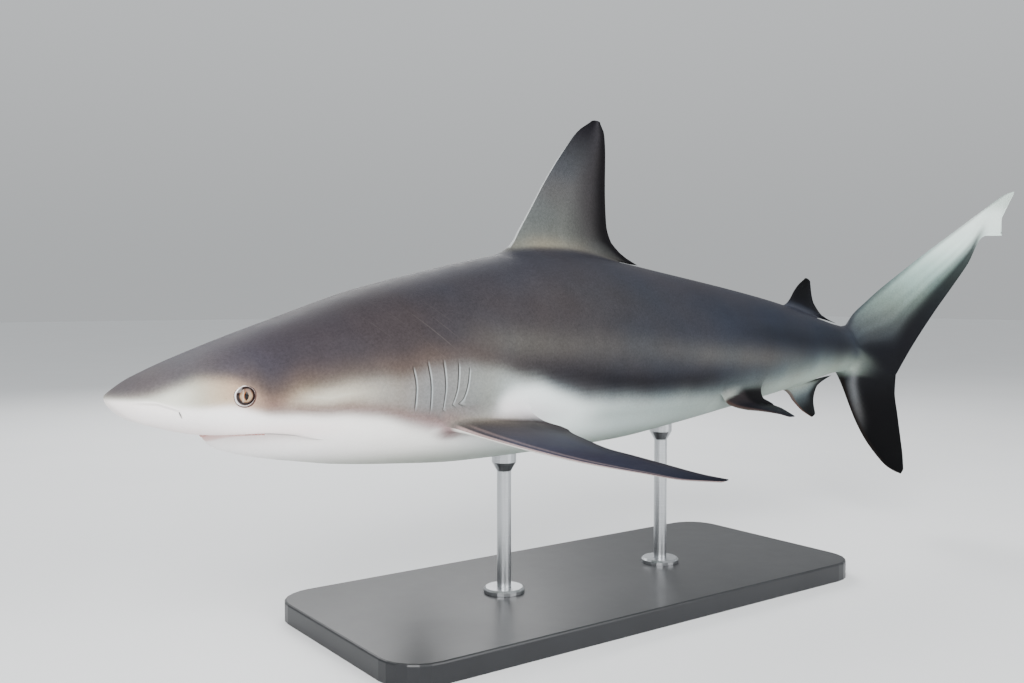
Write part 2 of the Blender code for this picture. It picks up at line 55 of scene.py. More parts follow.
def lengths(*numbers, row=(2,)):
    """A table of places and sizes, given in thousandths of the total length."""
    return np.array(numbers).reshape(-1, *row) / 1000


HALF_WIDTH = lengths(
    0, 24,  20, 32.5,  50, 42,  80, 47.5,  125, 53.5,  180, 60,  240, 64,  320, 65.5,  400, 62.5,
    480, 53.5,  560, 41,  620, 31.5,  680, 22.5,  724, 17,
)
BACK = lengths(
    0, -4.2,  20, 4.2,  50, 16.4,  80, 27.6,  125, 43,  173, 59,  224, 71.5,  280, 83.5,  320, 89.5,
    360, 89.5,  406, 83.5,  456, 75.2,  533, 62,  600, 49.5,  664, 35.5,  700, 27.8,  724, 24,
)
# The depth that the flanks curve down to. Ahead of the mouth's corner the
# underside is cut off flat above it, at the height PALATE gives.
BELLY = lengths(
    0, -16.5,  20, -24.5,  50, -35,  62.5, -39.5,  80, -46.2,  100, -51.5,  125, -56,  150, -60,
    190, -63.8,  250, -67.2,  330, -65.5,  390, -62.8,  456, -55.2,  533, -44.6,  600, -35.5,
    650, -29.5,  700, -22.8,  724, -21.7,
)
PALATE = lengths(
    0, -15.8,  20, -22.2,  50, -29.8,  62.5, -30.5,  84.5, -30.5,  103.6, -32.2,  117.1, -34.5,
    127.5, -36.5,
)
WIDEST_LEVEL = lengths(
    0, -7,  50, -7,  100, -6,  200, -2,  300, 4,  400, 6,  550, 6,  724, 1,
)
BACK_SQUARENESS = ((0.0, 2.0), (0.05, 2.15), (0.12, 2.2), (0.25, 1.95), (0.4, 1.85), (0.724, 2.0))
BELLY_SQUARENESS = ((0.0, 2.0), (0.05, 2.5), (0.12, 2.4), (0.25, 2.25), (0.4, 2.3), (0.724, 2.0))
NOSE_TIP = 0.004
NOSE_AXIS = -0.0065
NOSE_ROUND_PLAN = 0.045
NOSE_ROUND_SIDE = 0.02
TAIL_END = 0.724
CORNER_DEPTH = 0.575  # how far down the flank turns under, behind the mouth
TURN_UNDER_GROWTH = 0.03  # the length behind the mouth in which it gets that far down

MOUTH_FRONT = 0.0636
MOUTH_BACK = 0.1275
MOUTH_POWER = 2.2  # how square the mouth's front is, seen from below
MOUTH_HALF_WIDTH = 0.042
SWEEP_END = 0.235  # behind it the rings stand straight
MOUTH_OPENING = 0.0015
CHIN_ROUND = 0.009
PALATE_EDGE = 1.1 * MM  # how soft the palate's edge is
PALATE_FADE = 0.022  # the length before the mouth's corner in which the palate fades out
TUCK_DEPTH = 4.0 * MM  # how far the two inner rings of the mouth go in between the lips
INNER_OFFSET = 0.3  # mm from the mouth's line that takes in the two inner rings only

EYE_PLACE = (0.0749, 0.037, -0.0055)
EYE_RADIUS = 0.0105
EYE_MIDDLE = (0.0734, 0.0464, -0.0053)  # where the skin opens for it
EYE_OPENING = (15.4, 11.0)  # half sizes of the opening in mm, along the slant and across it
EYE_SLANT = 0.5

# Gill slits from front to rear: height and place of points up each slit, from foot to top.
GILLS = (
    lengths(-20.1, 187.1, -6.1, 187.6, 7.4, 185.4),
    lengths(-21.9, 199, -5.9, 198.7, 9.8, 196.6),
    lengths(-22.7, 208.6, -6, 209.6, 10.4, 208.3),
    lengths(-20.8, 214.9, -6, 219, 9.3, 220),
    lengths(-20, 217.8, -15.8, 223.4, -4, 227.2, 5.9, 228.5),
)
# Openings of the left side: middle, slant, then opening()'s half sizes in mm, grow, rims and
# block size in mm, and the fact that each loop is marked with.
OPENINGS = (
    (
        EYE_MIDDLE, EYE_SLANT, EYE_OPENING, (0.35, 0.65, 0.85, 0.95, 1.0),
        ((0.985, 0.15), (0.955, 0.6), (0.93, 1.6), (0.9, 4.5), (0.5, 9.0)), (21.0, 20.0),
        "lid", (0.0, 0.075, 0.15, 0.225, 0.3, 0.6, 0.7, 0.8, 0.9, 1.0),
    ),
    # The nostril: its three inner loops carry the dark fact, painted shade inside it.
    (
        (0.0368, 0.0355, -0.0165), -0.48, (0.9, 5.6), (0.4, 0.75, 1.0),
        ((0.85, 0.6), (0.6, 2.5), (0.3, 4.5)), (6.0, 9.0),
        "dark", (0.0, 0.0, 0.0, 0.6, 0.6, 0.6),
    ),
)

FIRST_DORSAL = lengths(
    305, 92.5, 435, 80.3,  312.5, 104.5, 408.5, 95,  323.5, 121.5, 400.8, 114,
    338.8, 145.8, 399.4, 143,  357.3, 171, 399.6, 169,  372, 187.4, 398.4, 186.2,
    383.8, 195, 394.2, 194.6,
    row=(2, 2),
)
SECOND_DORSAL = lengths(
    623.5, 46.5, 715.5, 27.2,  632, 54.5, 679, 39.5,  644, 65, 668.5, 55,  655, 71, 665.5, 67.5,
    row=(2, 2),
)
ANAL = lengths(
    623.5, -34, 708, -22.5,  635, -44, 680, -34.5,  653, -56.2, 674, -48,  670, -63.8, 677.5, -60.5,
    row=(2, 2),
)
PECTORAL = lengths(
    216, 59.5, -34.5, 314, 64, -43,  233, 79, -41.2, 313, 86, -47.5,
    253, 103, -48.3, 313, 108, -50.8,  276, 130, -55, 316.5, 134, -53.2,
    301, 159, -60, 322.5, 162, -56.5,  321, 181.5, -63.3, 331.5, 184.5, -60.2,
    334, 196.5, -63.2, 338.5, 198.5, -61.8,
    row=(2, 3),
)
PELVIC = lengths(
    506, 40.5, -39.7, 566.5, 32, -42,  520, 54, -41.7, 559, 48, -43.6,
    533, 66, -44.6, 551, 63.5, -45.7,  540, 72, -47.2, 545.5, 73.5, -47,
    row=(2, 3),
)
ROOT_STAND = 2.5 * MM  # how far a fin's root line stands proud of the body
ROOT_CLEARANCE = 2.2 * ROOT_STAND  # the least height of a fin's further rows over the body
# Name, rows, ends of the block that is cut out for it, ends of the root line, steps of the block
# to each side, thickness as a share of the chord, and spans.
UPRIGHT_FINS = (
    ("dorsal", FIRST_DORSAL, (0.2915, 0.412), (0.3015, 0.4025), 5, 0.045, 36),
    ("second_dorsal", SECOND_DORSAL, (0.6135, 0.679), (0.6205, 0.671), 3, 0.05, 24),
    ("anal", ANAL, (0.6105, 0.676), (0.618, 0.668), 3, 0.05, 24),
)
# The same, with (s, z) at the ends of the root line.
PAIRED_FINS = (
    ("pectoral", PECTORAL, (0.206, 0.283), lengths(214, -33.5, 274, -30), 3, 0.045, 34),
    ("pelvic", PELVIC, (0.487, 0.549), lengths(493.5, -36.6, 542, -31.2), 3, 0.045, 24),
)
TAIL_UPPER = lengths(
    724, 24, 724, -6.1,  733, 25, 742, -10.5,  744, 36.6, 760, -16,  760, 48.2, 780, -22,
    780, 62.8, 801, -28,  806, 80, 820, -0.4,  839, 101.3, 851, 38.6,  871.5, 121.2, 872.5, 63,
    900, 138.5, 894, 87.9,  924, 152.8, 919, 120,  936, 160, 943, 120.8,  945.5, 165, 940, 133.5,
    953.5, 168, 948.5, 150,  959.5, 169.2, 958, 165,
    row=(2, 2),
)
TAIL_LOWER = lengths(
    724, -21.7, 724, -6.1,  727, -31, 742, -10.5,  733, -44, 760, -16,  741.5, -60.5, 780, -22,
    751, -77, 801, -28,  763, -94.5, 800, -46,  776, -109.8, 804, -70,  790, -123.2, 808.5, -95,
    802.5, -130.2, 811.8, -115,  808.5, -132.5, 812.8, -127,
    row=(2, 2),
)
TAIL_FORK_ROW = 4
TAIL_THICKNESS = 0.05
FORK_SPANS = 16  # from the tail's root to its fork
UPPER_SPANS, LOWER_SPANS = 46, 30  # from the fork to the lobes' tips
FIN_EDGE = 0.0003

# The skin's grid: points round one half of the body, from the back to the belly,
# and where the flank turns under.
HALF = 64
CORNER_STEP = 45
AROUND = 2 * HALF
BOARD_NODE = "stand_base"


# ---------------------------------------------------------------- curves
def eased(table, x):
    """Monotone cubic through the table's points: it never overshoots them."""
    knots, values = np.array(table).T
    return eased_rows(knots, values[:, None], x)[..., 0]


def eased_rows(knots, values, x):
    """The same curve for every column of values at once. x may have any shape."""
    step = np.diff(knots)[:, None]
    climb = np.diff(values, axis=0) / step
    before, after = climb[:-1], climb[1:]
    same_way = before * after > 0
    mean = 2 * before * after / np.where(same_way, before + after, 1.0)
    slope = np.concatenate([climb[:1], np.where(same_way, mean, 0.0), climb[-1:]])
    x = np.asarray(x, float)
    i = np.clip(np.searchsorted(knots, x) - 1, 0, len(step) - 1)
    h = step[i]
    t = np.clip((x[..., None] - knots[i][..., None]) / h, 0.0, 1.0)
    return hermite(t, values[i], values[i + 1], h * slope[i], h * slope[i + 1])


def hermite(t, a, b, out_a, out_b):
    """A curve that leaves a along out_a, at t = 0, and reaches b along out_b, at t = 1."""
    start = (1 + 2 * t) * (1 - t) ** 2 * a + t * (1 - t) ** 2 * out_a
    return start + t * t * (3 - 2 * t) * b - t * t * (1 - t) * out_b


def unit(vectors):
    """The vectors drawn to length 1."""
    return vectors / np.maximum(np.linalg.norm(vectors, axis=-1, keepdims=True), 1e-12)


def smooth(x):
    """0 below 0, 1 above 1, and an S curve between."""
    t = np.clip(x, 0.0, 1.0)
    return t * t * (3 - 2 * t)


def rise(x, start, width):
    """An S curve from 0 at the start to 1 a width further on."""
    return smooth((x - start) / width)


def fall(x, start, width):
    """An S curve from 1 at the start to 0 a width further on."""
    return 1 - rise(x, start, width)


def swimming_curve():
    """The bent axis: places along it, its x and y in lengths, and its heading in radians."""
    s = np.linspace(0.0, 1.0, 501)
    heading = np.radians(eased(HEADING, s))
    halfway = heading[:-1] + np.diff(heading) / 2
    x, y = (np.concatenate([[0.0], np.cumsum(way(halfway)) * (s[1] - s[0])]) for way in (np.cos, np.sin))
    return s, x - np.interp(BALANCE, s, x), y - np.interp(BALANCE, s, y), heading


AXIS_S, AXIS_X, AXIS_Y, AXIS_HEADING = swimming_curve()


def bend(places):
    """(s, n, z) of the straight shark to metres on the swimming curve."""
    s, n, z = np.moveaxis(np.asarray(places, float), -1, 0)
    heading = np.interp(s, AXIS_S, AXIS_HEADING)
    x = np.interp(s, AXIS_S, AXIS_X) + n * np.sin(heading)
    y = np.interp(s, AXIS_S, AXIS_Y) - n * np.cos(heading)
    return np.stack([x, y, z], -1) * TOTAL_LENGTH + np.array([0.0, 0.0, AXIS_HEIGHT])


# ---------------------------------------------------------------- the body's surface
def power(x, exponent):
    """A power that keeps the sign of x."""
    return np.sign(x) * np.abs(x) ** exponent


def rounding(s, length):
    """0 at the snout tip, growing like a quarter circle to 1 at the given length."""
    return np.sqrt(np.maximum(1 - (1 - np.clip(s / length, 0.0, 1.0)) ** 2, 0.0))


def section(s):
    """Half width, back, belly, palate, widest level and the two squarenesses at s."""
    nose = np.maximum(rounding(s - NOSE_TIP, NOSE_ROUND_SIDE), 1e-3)
    width = np.maximum(eased(HALF_WIDTH, s) * rounding(s - NOSE_TIP, NOSE_ROUND_PLAN), 1e-6)
    back, belly, palate, widest = (
        NOSE_AXIS + (eased(table, s) - NOSE_AXIS) * nose for table in (BACK, BELLY, PALATE, WIDEST_LEVEL)
    )
    return width, back, belly, palate, widest, eased(BACK_SQUARENESS, s), eased(BELLY_SQUARENESS, s)


def arc(share, squareness):
    """How wide a superellipse is at a share of its height, or how high at a share of its width."""
    return (1 - share ** squareness) ** (1 / squareness)


def half_width_at(s, z):
    """How far out the flank is at a place and a height."""
    width, back, belly, _, widest, upper, lower = section(s)
    above = z > widest
    reach = np.where(above, back - widest, widest - belly)
    squareness = np.where(above, upper, lower)
    return width * arc(np.minimum(np.abs((z - widest) / reach), 0.999), squareness)


def back_at(s):
    """The height of the back's middle line at s."""
    return section(s)[1]


def belly_at(s):
    """The height of the belly's middle line at s."""
    return section(s)[2]


def sweep(sigma):
    """How far forward a ring is drawn at the middle of the underside, to follow the mouth."""
    before = rise(sigma, NOSE_TIP, MOUTH_BACK - NOSE_TIP)
    after = fall(sigma, MOUTH_BACK, SWEEP_END - MOUTH_BACK)
    return (MOUTH_BACK - MOUTH_FRONT) * np.where(sigma < MOUTH_BACK, before, after)


def gill_line(number, z):
    """The place along the body of a gill slit at a height, and how far up the slit that is."""
    slit = GILLS[number]
    return eased(slit, z), (z - slit[0][0]) / (slit[-1][0] - slit[0][0])


GILL_MIDDLE = -0.006
GILL_REACH = 0.017  # how far above and below the middle the rings follow the slits
GILL_RINGS = np.array([float(gill_line(k, np.array(GILL_MIDDLE))[0]) for k in range(5)])


def gill_lean(sigma, z):
    """How far the rings lean along the body to run along the gill slits: each slit's own lean
    at its own ring, shared linearly between rings, and fading out above and below."""
    knots = np.concatenate([[GILL_RINGS[0] - 0.02], GILL_RINGS, [GILL_RINGS[-1] + 0.022]])
    lean = 0.0
    for k, ring in enumerate(GILL_RINGS):
        hat = np.interp(sigma, knots, np.eye(len(knots))[k + 1])
        lean = lean + hat * (gill_line(k, z)[0] - ring)
    return lean * fall(np.abs(z - GILL_MIDDLE), GILL_REACH, 0.022)


def jaw_spread(s):
    """How much of the head's width the lower jaw takes at s."""
    return np.clip((s - MOUTH_FRONT) / (MOUTH_BACK - MOUTH_FRONT), 1e-6, 1.0) ** (1 / MOUTH_POWER)


def across_underside(turn):
    """1 where the flank turns under, falling like a cosine to 0 at the belly's middle line."""
    corner = CORNER_STEP / HALF
    return np.cos(0.5 * math.pi * np.clip((np.abs(turn) - corner) / (1 - corner), 0.0, 1.0))


def skin_place(sigma, turn, jaw=None):
    """(s, n, z) of the bare skin. sigma names a ring and turn goes from 0 at the back to 1 at
    the belly, negative on the right side. The flank is a superellipse quarter above and below
    its widest level. Under it, points are spread across by a cosine and the ring is swept
    forward; jaw says whether such a point is on the lower jaw or on the snout and upper lip."""
    sigma, turn = np.broadcast_arrays(np.asarray(sigma, float), np.asarray(turn, float))
    jaw = sigma > MOUTH_BACK if jaw is None else np.broadcast_to(jaw, sigma.shape)
    corner = CORNER_STEP / HALF
    side = np.where(turn < 0, -1.0, 1.0)
    a = np.abs(turn)
    under = a > corner
    across = across_underside(turn)
    s = sigma - sweep(sigma) * (1 - across ** MOUTH_POWER)
    width, back, belly, palate, widest, upper, lower = section(s)

    turned_under = widest + CORNER_DEPTH * (belly - widest)
    level = palate + (turned_under - palate) * rise(s, MOUTH_BACK, TURN_UNDER_GROWTH)
    depth = np.clip((widest - level) / (widest - belly), 0.0, 0.999)
    corner_angle = math.pi - np.arccos(depth ** (lower / 2))
    angle = corner_angle * np.minimum(a / corner, 1.0)
    squareness = np.where(np.cos(angle) >= 0, upper, lower)
    reach = np.where(np.cos(angle) >= 0, back - widest, widest - belly)
    n = width * power(np.sin(angle), 2 / squareness)
    z = widest + reach * power(np.cos(angle), 2 / squareness)

    low_n = width * arc(depth, lower) * across
    low_z = widest - (widest - belly) * arc(np.minimum(low_n / width, 1.0), lower)
    chin = rounding(s - MOUTH_FRONT, CHIN_ROUND)
    gape = 0.2 * smooth((1 - across) / 0.15) + 1.1 * smooth((0.92 - across) / 0.35)
    lip = palate - MOUTH_OPENING * gape
    cap_z = widest - (widest - belly) * arc(np.minimum(low_n / (width * jaw_spread(s)), 1.0), lower)
    jaw_z = lip + np.minimum(cap_z - lip, 0.0) * chin
    low_z = np.where(jaw & (s < MOUTH_BACK), jaw_z, low_z)
    n = np.where(under, low_n, n)
    z = np.where(under, low_z, z)

    # The upper lip and the snout's underside: cut off level at the palate, with a soft edge.
    above = (z - palate) / PALATE_EDGE
    flat = np.where(above > 30, z, palate + PALATE_EDGE * np.logaddexp(0.0, np.minimum(above, 30)))
    level_off = 1 - smooth((sigma - MOUTH_BACK + PALATE_FADE) / PALATE_FADE)
    level_off = np.where(under, level_off + (1 - level_off) * smooth((1 - across) / 0.08), level_off)
    level_off = np.where(under & (jaw | (s >= MOUTH_BACK)), 0.0, level_off)
    z = z + (flat - z) * level_off
    lean = np.where(under, 0.0, gill_lean(sigma, z))
    return np.stack([s + lean, side * n, z], -1)


def skin_steps(sigma, turn, jaw=None, e=0.0004, f=0.004):
    """How the bare skin goes on, in metres, in a step of 2e along it and of 2f round it."""
    along_body = bend(skin_place(sigma + e, turn, jaw)) - bend(skin_place(sigma - e, turn, jaw))
    round_body = bend(skin_place(sigma, turn + f, jaw)) - bend(skin_place(sigma, turn - f, jaw))
    return along_body, round_body


def skin_normal(sigma, turn, jaw=None):
    """The bare skin's outward normal."""
    along_body, round_body = skin_steps(sigma, turn, jaw)
    return unit(np.cross(round_body, along_body))


# ---------------------------------------------------------------- the skin as one mesh
class Skin:
    """Collects points, quads and per-point facts for one mesh."""

    def __init__(self):
        self.points, self.places, self.facts, self.quads, self.roots, self.count = [], [], [], [], [], 0

    def add(self, points, places, **facts):
        """Adds an array of points (any grid shape) and returns their numbers in that shape."""
        shape = points.shape[:-1]
        numbers = self.count + np.arange(int(np.prod(shape))).reshape(shape)
        self.points.append(points.reshape(-1, 3))
        self.places.append(np.broadcast_to(places, points.shape).reshape(-1, 3))
        flat = {name: np.broadcast_to(value, shape).reshape(-1) for name, value in facts.items()}
        self.facts.append((numbers.size, flat))
        self.count += numbers.size
        return numbers

    def sleeve(self, loops):
        """Quads from each closed loop of point numbers to the next."""
        for first, second in zip(loops, loops[1:]):
            self.quads.append(np.stack([first, second, np.roll(second, -1), np.roll(first, -1)], -1))

    def pocket(self, loops):
        """A sleeve of the other winding, whose last loop is closed by quads between its sides."""
        start = len(self.quads)
        self.sleeve(loops)
        self.quads[start:] = [quads[:, ::-1] for quads in self.quads[start:]]
        last, half = loops[-1], len(loops[-1]) // 2
        left = last[: half + 1]
        right = np.concatenate([last[:1], last[:half - 1:-1]])
        self.quads.append(np.stack([left[:-1], left[1:], right[1:], right[:-1]], -1))

    def fact(self, name):
        """One fact of every point, 0 where it wasn't given."""
        return np.concatenate([flat.get(name, np.zeros(size)) for size, flat in self.facts])


def ring_net(numbers):
    """Quads between neighbouring rings of point numbers."""
    first, second = numbers[:-1], numbers[1:]
    return np.stack([first, np.roll(first, -1, 1), np.roll(second, -1, 1), second], -1)


def ring_positions():
    """Ring places along the body, its spacing in mm by region, plus close rings at the gill
    slits and at the mouth."""
    spacing = (
        (0.0, 0.7), (0.012, 1.6), (0.03, 2.6), (0.12, 3.4), (0.16, 3.8), (0.23, 2.7), (0.28, 2.8),
        (0.32, 4.8), (0.6, 4.8), (0.724, 3.6),
    )
    s, places = NOSE_TIP + 0.35 * MM, []
    while s < TAIL_END - 1.2 * MM:
        places.append(s)
        s += float(np.interp(s - NOSE_TIP, *np.array(spacing).T)) * MM
    places = np.array(places + [TAIL_END])
    near_gill = np.abs(places[:, None] - GILL_RINGS).min(1) < 7.2 * MM
    near_mouth = np.abs(places - MOUTH_BACK) < 8 * MM
    places = places[~near_gill & ~near_mouth]
    gill_rings = (GILL_RINGS[:, None] + GILL_OFFSETS * MM).ravel()
    return np.sort(np.concatenate([places, gill_rings, MOUTH_BACK + MOUTH_OFFSETS * MM]))


# Places of the close rings, in mm behind a gill slit and behind the mouth's corner.
GILL_OFFSETS = np.array([
    -5.4, -3.6, -2.4, -1.5, -0.9, -0.5, -0.2, 0.1, 0.5, 0.9, 1.3, 1.8, 2.6, 3.8, 5.4,
])
MOUTH_OFFSETS = np.array([-6, -4, -2.6, -1.5, -0.6, -0.2, 0.2, 0.6, 1.3, 2.3, 3.6, 5.2, 7.0])

# Depth of a gill slit in mm against the distance behind its line: a flap that stands a
# little proud, a sharp fall under its free edge, and a soft rise behind.
GILL_PROFILE = (
    (-9.0, 0.0), (-5.4, -0.1), (-3.6, -0.35), (-2.4, -0.65), (-1.5, -0.95), (-0.9, -1.0), (-0.5, -0.7),
    (-0.2, 1.0), (0.1, 4.2), (0.5, 4.4), (0.9, 2.2), (1.3, 0.7), (1.8, 0.1), (2.6, -0.25), (3.8, -0.2),
    (5.4, 0.0),
)


def gill_fold(sigma, z):
    """(depth in metres, painted shade in the slit, painted highlight on its rear edge) of the gill slits at
    a ring and a height.
    """
    depth = dark = edge = 0.0
    for k, ring in enumerate(GILL_RINGS):
        _, t = gill_line(k, z)
        behind = (sigma - ring) / MM
        inside = np.sqrt(np.clip(smooth((t + 0.02) / 0.2) * smooth((1.02 - t) / 0.2), 0.0, 1.0))
        depth = depth + np.interp(behind, *np.array(GILL_PROFILE).T) * inside
        # slot is the painted shade down each slit, and rim the painted highlight on the lit skin just
        # behind it.
        slot = np.interp(behind, (-1.5, -0.5, -0.2, 0.9, 1.8), (0, 0.7, 1, 1, 0))
        rim = np.interp(behind, (0.9, 1.3, 2.6, 3.8), (0, 1, 0.8, 0))
        dark, edge = np.maximum(dark, slot * inside), np.maximum(edge, rim * inside)
    return depth * 0.001, dark, edge


def body_grid(skin):
    """The body from the snout to the tail stalk: rings of AROUND points, moved inward along
    the normal at the gill slits and tucked in at the mouth."""
    sigma = ring_positions()
    turn = np.concatenate([np.arange(HALF + 1), -np.arange(HALF - 1, 0, -1)]) / HALF
    sigma_grid, turn_grid = np.meshgrid(sigma, turn, indexing="ij")
    jaw = sigma_grid > MOUTH_BACK
    place = skin_place(sigma_grid, turn_grid, jaw)
    normal = skin_normal(sigma_grid, turn_grid, jaw)
    points = bend(place)

    flank = np.abs(turn_grid) <= CORNER_STEP / HALF
    depth, dark, edge = gill_fold(sigma_grid, place[..., 2])
    depth, dark, edge = (np.where(flank, value, 0.0) for value in (depth, dark, edge))
    points = points - normal * depth[..., None]

    # The mouth: the two inner rings go in between the lips.
    offset = (sigma_grid - MOUTH_BACK) / MM
    under = np.abs(turn_grid) >= CORNER_STEP / HALF
    across = across_underside(turn_grid)
    inner = under & (np.abs(offset) < INNER_OFFSET)
    tuck = TUCK_DEPTH * smooth((1 - across) / 0.25)
    slope = sweep(MOUTH_BACK) * MOUTH_POWER * across ** (MOUTH_POWER - 1) / MOUTH_HALF_WIDTH
    length = np.sqrt(1 + slope ** 2)
    shift = np.stack([tuck / length, -np.sign(turn_grid) * tuck * slope / length, 0 * tuck], -1)
    points = np.where(inner[..., None], bend(place + shift), points)
    # line is a painted shadow along the mouth, under the upper lip; it goes into the dark fact, except
    # where the gum is.
    line = np.interp(np.abs(offset), (INNER_OFFSET, 0.6, 2.3, 3.6), (1.0, 0.8, 0.35, 0.0)) * under
    gum = np.interp(offset, (-1.5, -0.6, 0.6, 3.6, 5.2), (0.0, 1.0, 1.0, 0.65, 0.0))
    gum = gum * under * smooth((0.76 - across) / 0.25)
    dark = np.maximum(dark, 0.8 * line * smooth((1 - across) / 0.1) * (1 - gum))
    numbers = skin.add(points, place, dark=dark, edge=edge, gum=gum)
    return sigma, turn, numbers, points, place


def block_loop(numbers, i0, i1, j0, j1):
    """Point numbers round a block of the body's grid, from the middle of its front edge, along
    the side j0, and back along the side j1. Their order suits fin loops."""
    jm = (j0 + j1) // 2
    front_a = [(i0, j) for j in range(jm, j0, -1)]
    side_a = [(i, j0) for i in range(i0, i1)]
    rear = [(i1, j) for j in range(j0, j1)]
    side_b = [(i, j1) for i in range(i1, i0, -1)]
    front_b = [(i0, j) for j in range(j1, jm, -1)]
    i, j = np.array(front_a + side_a + rear + side_b + front_b).T
    return numbers[i, j % AROUND], i, j


def nearest(values, x):
    """The number of the value closest to x."""
    return int(np.abs(values - x).argmin())


def chord_steps(count):
    """Places along a chord, from 0 to 1, closer together at both edges."""
    return 0.5 - 0.5 * np.cos(math.pi * np.arange(count + 1) / count)


def fin_surface(rows, x):
    """The middle surface of a fin through its rows of chords: rows x places along a chord x 3."""
    return rows[:, :1] + (rows[:, 1:] - rows[:, :1]) * x[None, :, None]


def loft(knots, control, t):
    """The surface at t between rows of places, each with its knot."""
    return eased_rows(knots, control.reshape(len(knots), -1), t).reshape(len(t), -1, 3)


def row_knots(control):
    """The rows' mean distance from the first row, added up from row to row."""
    gaps = np.linalg.norm(np.diff(control, axis=0), axis=-1).mean(1)
    return np.concatenate([[0.0], np.cumsum(np.maximum(gaps, 1e-4))])


def half_thickness(middle, share, x):
    """A fin's half thickness along each chord of its middle surface, T x X x 3: a rounded front
    and a long thin rear, 2.6 sqrt(x)(1 - x)(1 - 0.28 x) of a share of the chord."""
    chord = np.linalg.norm(middle[:, -1] - middle[:, 0], axis=-1)[:, None]
    return share * chord * 2.6 * np.sqrt(x) * (1 - x) * (1 - 0.28 * x)


def fin_loops(middle, normal, thickness, x):
    """Closed loops round a fin, up one side and down the other."""
    half = np.maximum(half_thickness(middle, thickness, x), FIN_EDGE)
    half = half * np.minimum(np.sqrt(np.minimum(x, 1 - x) / 0.004), 1.0)
    up = middle + half[..., None] * normal
    down = middle - half[..., None] * normal
    return np.concatenate([up, down[:, -2:0:-1]], 1)


TIP_REACH = 0.45  # how far a tip's cap reaches out, as a share of the last loop's half length
TIP_ANGLES = (22.0, 42.0, 60.0, 75.0)


def round_tip(loops):
    """Adds loops that close a fin's tip as half an ellipse: each shrinks by the cosine of an
    angle and moves out along the fin by its sine."""
    last = loops[-1]
    middle = last.mean(0)
    out = middle - loops[-3].mean(0)
    out = out / np.linalg.norm(out) * TIP_REACH * np.linalg.norm(last - middle, axis=-1).max()
    angle = np.radians(TIP_ANGLES)[:, None, None]
    return np.concatenate([loops, middle + (last - middle) * np.cos(angle) + out * np.sin(angle)])


FILLET_STEPS = 5
FILLET_PULL = 1.2  # how strongly a fillet's ends hold their direction, in shares of its width
FILLET_RISE = 0.011  # m, the most that its upper end does so
FILLET_LEAN = 0.4  # how much its upper end turns from the fin's wall to the skin's normal
ROOT_FLESH = {"pectoral": 0.7, "pelvic": 0.5, "dorsal": 0.15}  # how much thicker a fin is at its root


def grow_fin(skin, body, name, block, control, normal, thickness, spans):
    """A fin drawn out of a block of the body's grid. control is its root line, which stands a
    little proud of the body, and its rows of chords. A fillet joins the block's edge to it."""
    sigma, _, numbers, points, place = body
    loop, i, j = block_loop(numbers, *block)
    base, base_place = points[i, j % AROUND], place[i, j % AROUND]
    half_count = len(loop) // 2
    x = chord_steps(half_count)
    knots = row_knots(control)
    t = np.linspace(0.0, knots[-1], spans + 1)
    middle = loft(knots, control, t)
    facing = np.sign(((base_place[half_count // 2] - base_place[-(half_count // 2)]) * normal).sum())
    flesh = 1 + ROOT_FLESH.get(name, 0.0) * np.exp(-(t / knots[1] / 1.2) ** 2)
    loops = round_tip(fin_loops(middle, facing * np.array(normal), thickness * flesh[:, None], x))
    t = np.concatenate([t, np.full(len(loops) - len(t), knots[-1])])
    solid = bend(loops)

    ahead = points[np.clip(i + 1, 0, len(sigma) - 1), j % AROUND] - points[i - 1, j % AROUND]
    aside = points[i, (j + 1) % AROUND] - points[i, (j - 1) % AROUND]
    skin_up = unit(np.cross(aside, ahead))
    gap = solid[0] - base
    reach = FILLET_PULL * np.linalg.norm(gap, axis=-1, keepdims=True)
    inward = unit(gap - (gap * skin_up).sum(-1, keepdims=True) * skin_up)
    outward = FILLET_LEAN * skin_up + (1 - FILLET_LEAN) * unit(solid[1] - solid[0])
    outward = outward * np.minimum(reach, FILLET_RISE)
    ramp = np.linspace(0.0, 1.0, FILLET_STEPS + 2)[1:-1, None, None]
    fillet = hermite(ramp, base, solid[0], inward * reach, outward)
    places = np.concatenate([base_place * (1 - ramp) + loops[0] * ramp, loops])
    chord = np.concatenate([x, x[-2:0:-1]])
    top = facing * np.where(np.arange(len(loop)) <= half_count, 1.0, -1.0)
    span = np.concatenate([np.linspace(-0.1, 0, FILLET_STEPS + 1)[:-1], t / knots[-1]])[:, None]
    solid = np.concatenate([fillet, solid])
    new = skin.add(solid, places, chord=chord, top=top, span=span, **{name: 1.0})
    skin.pocket([loop, *new])
    skin.roots.append(solid[FILLET_STEPS])


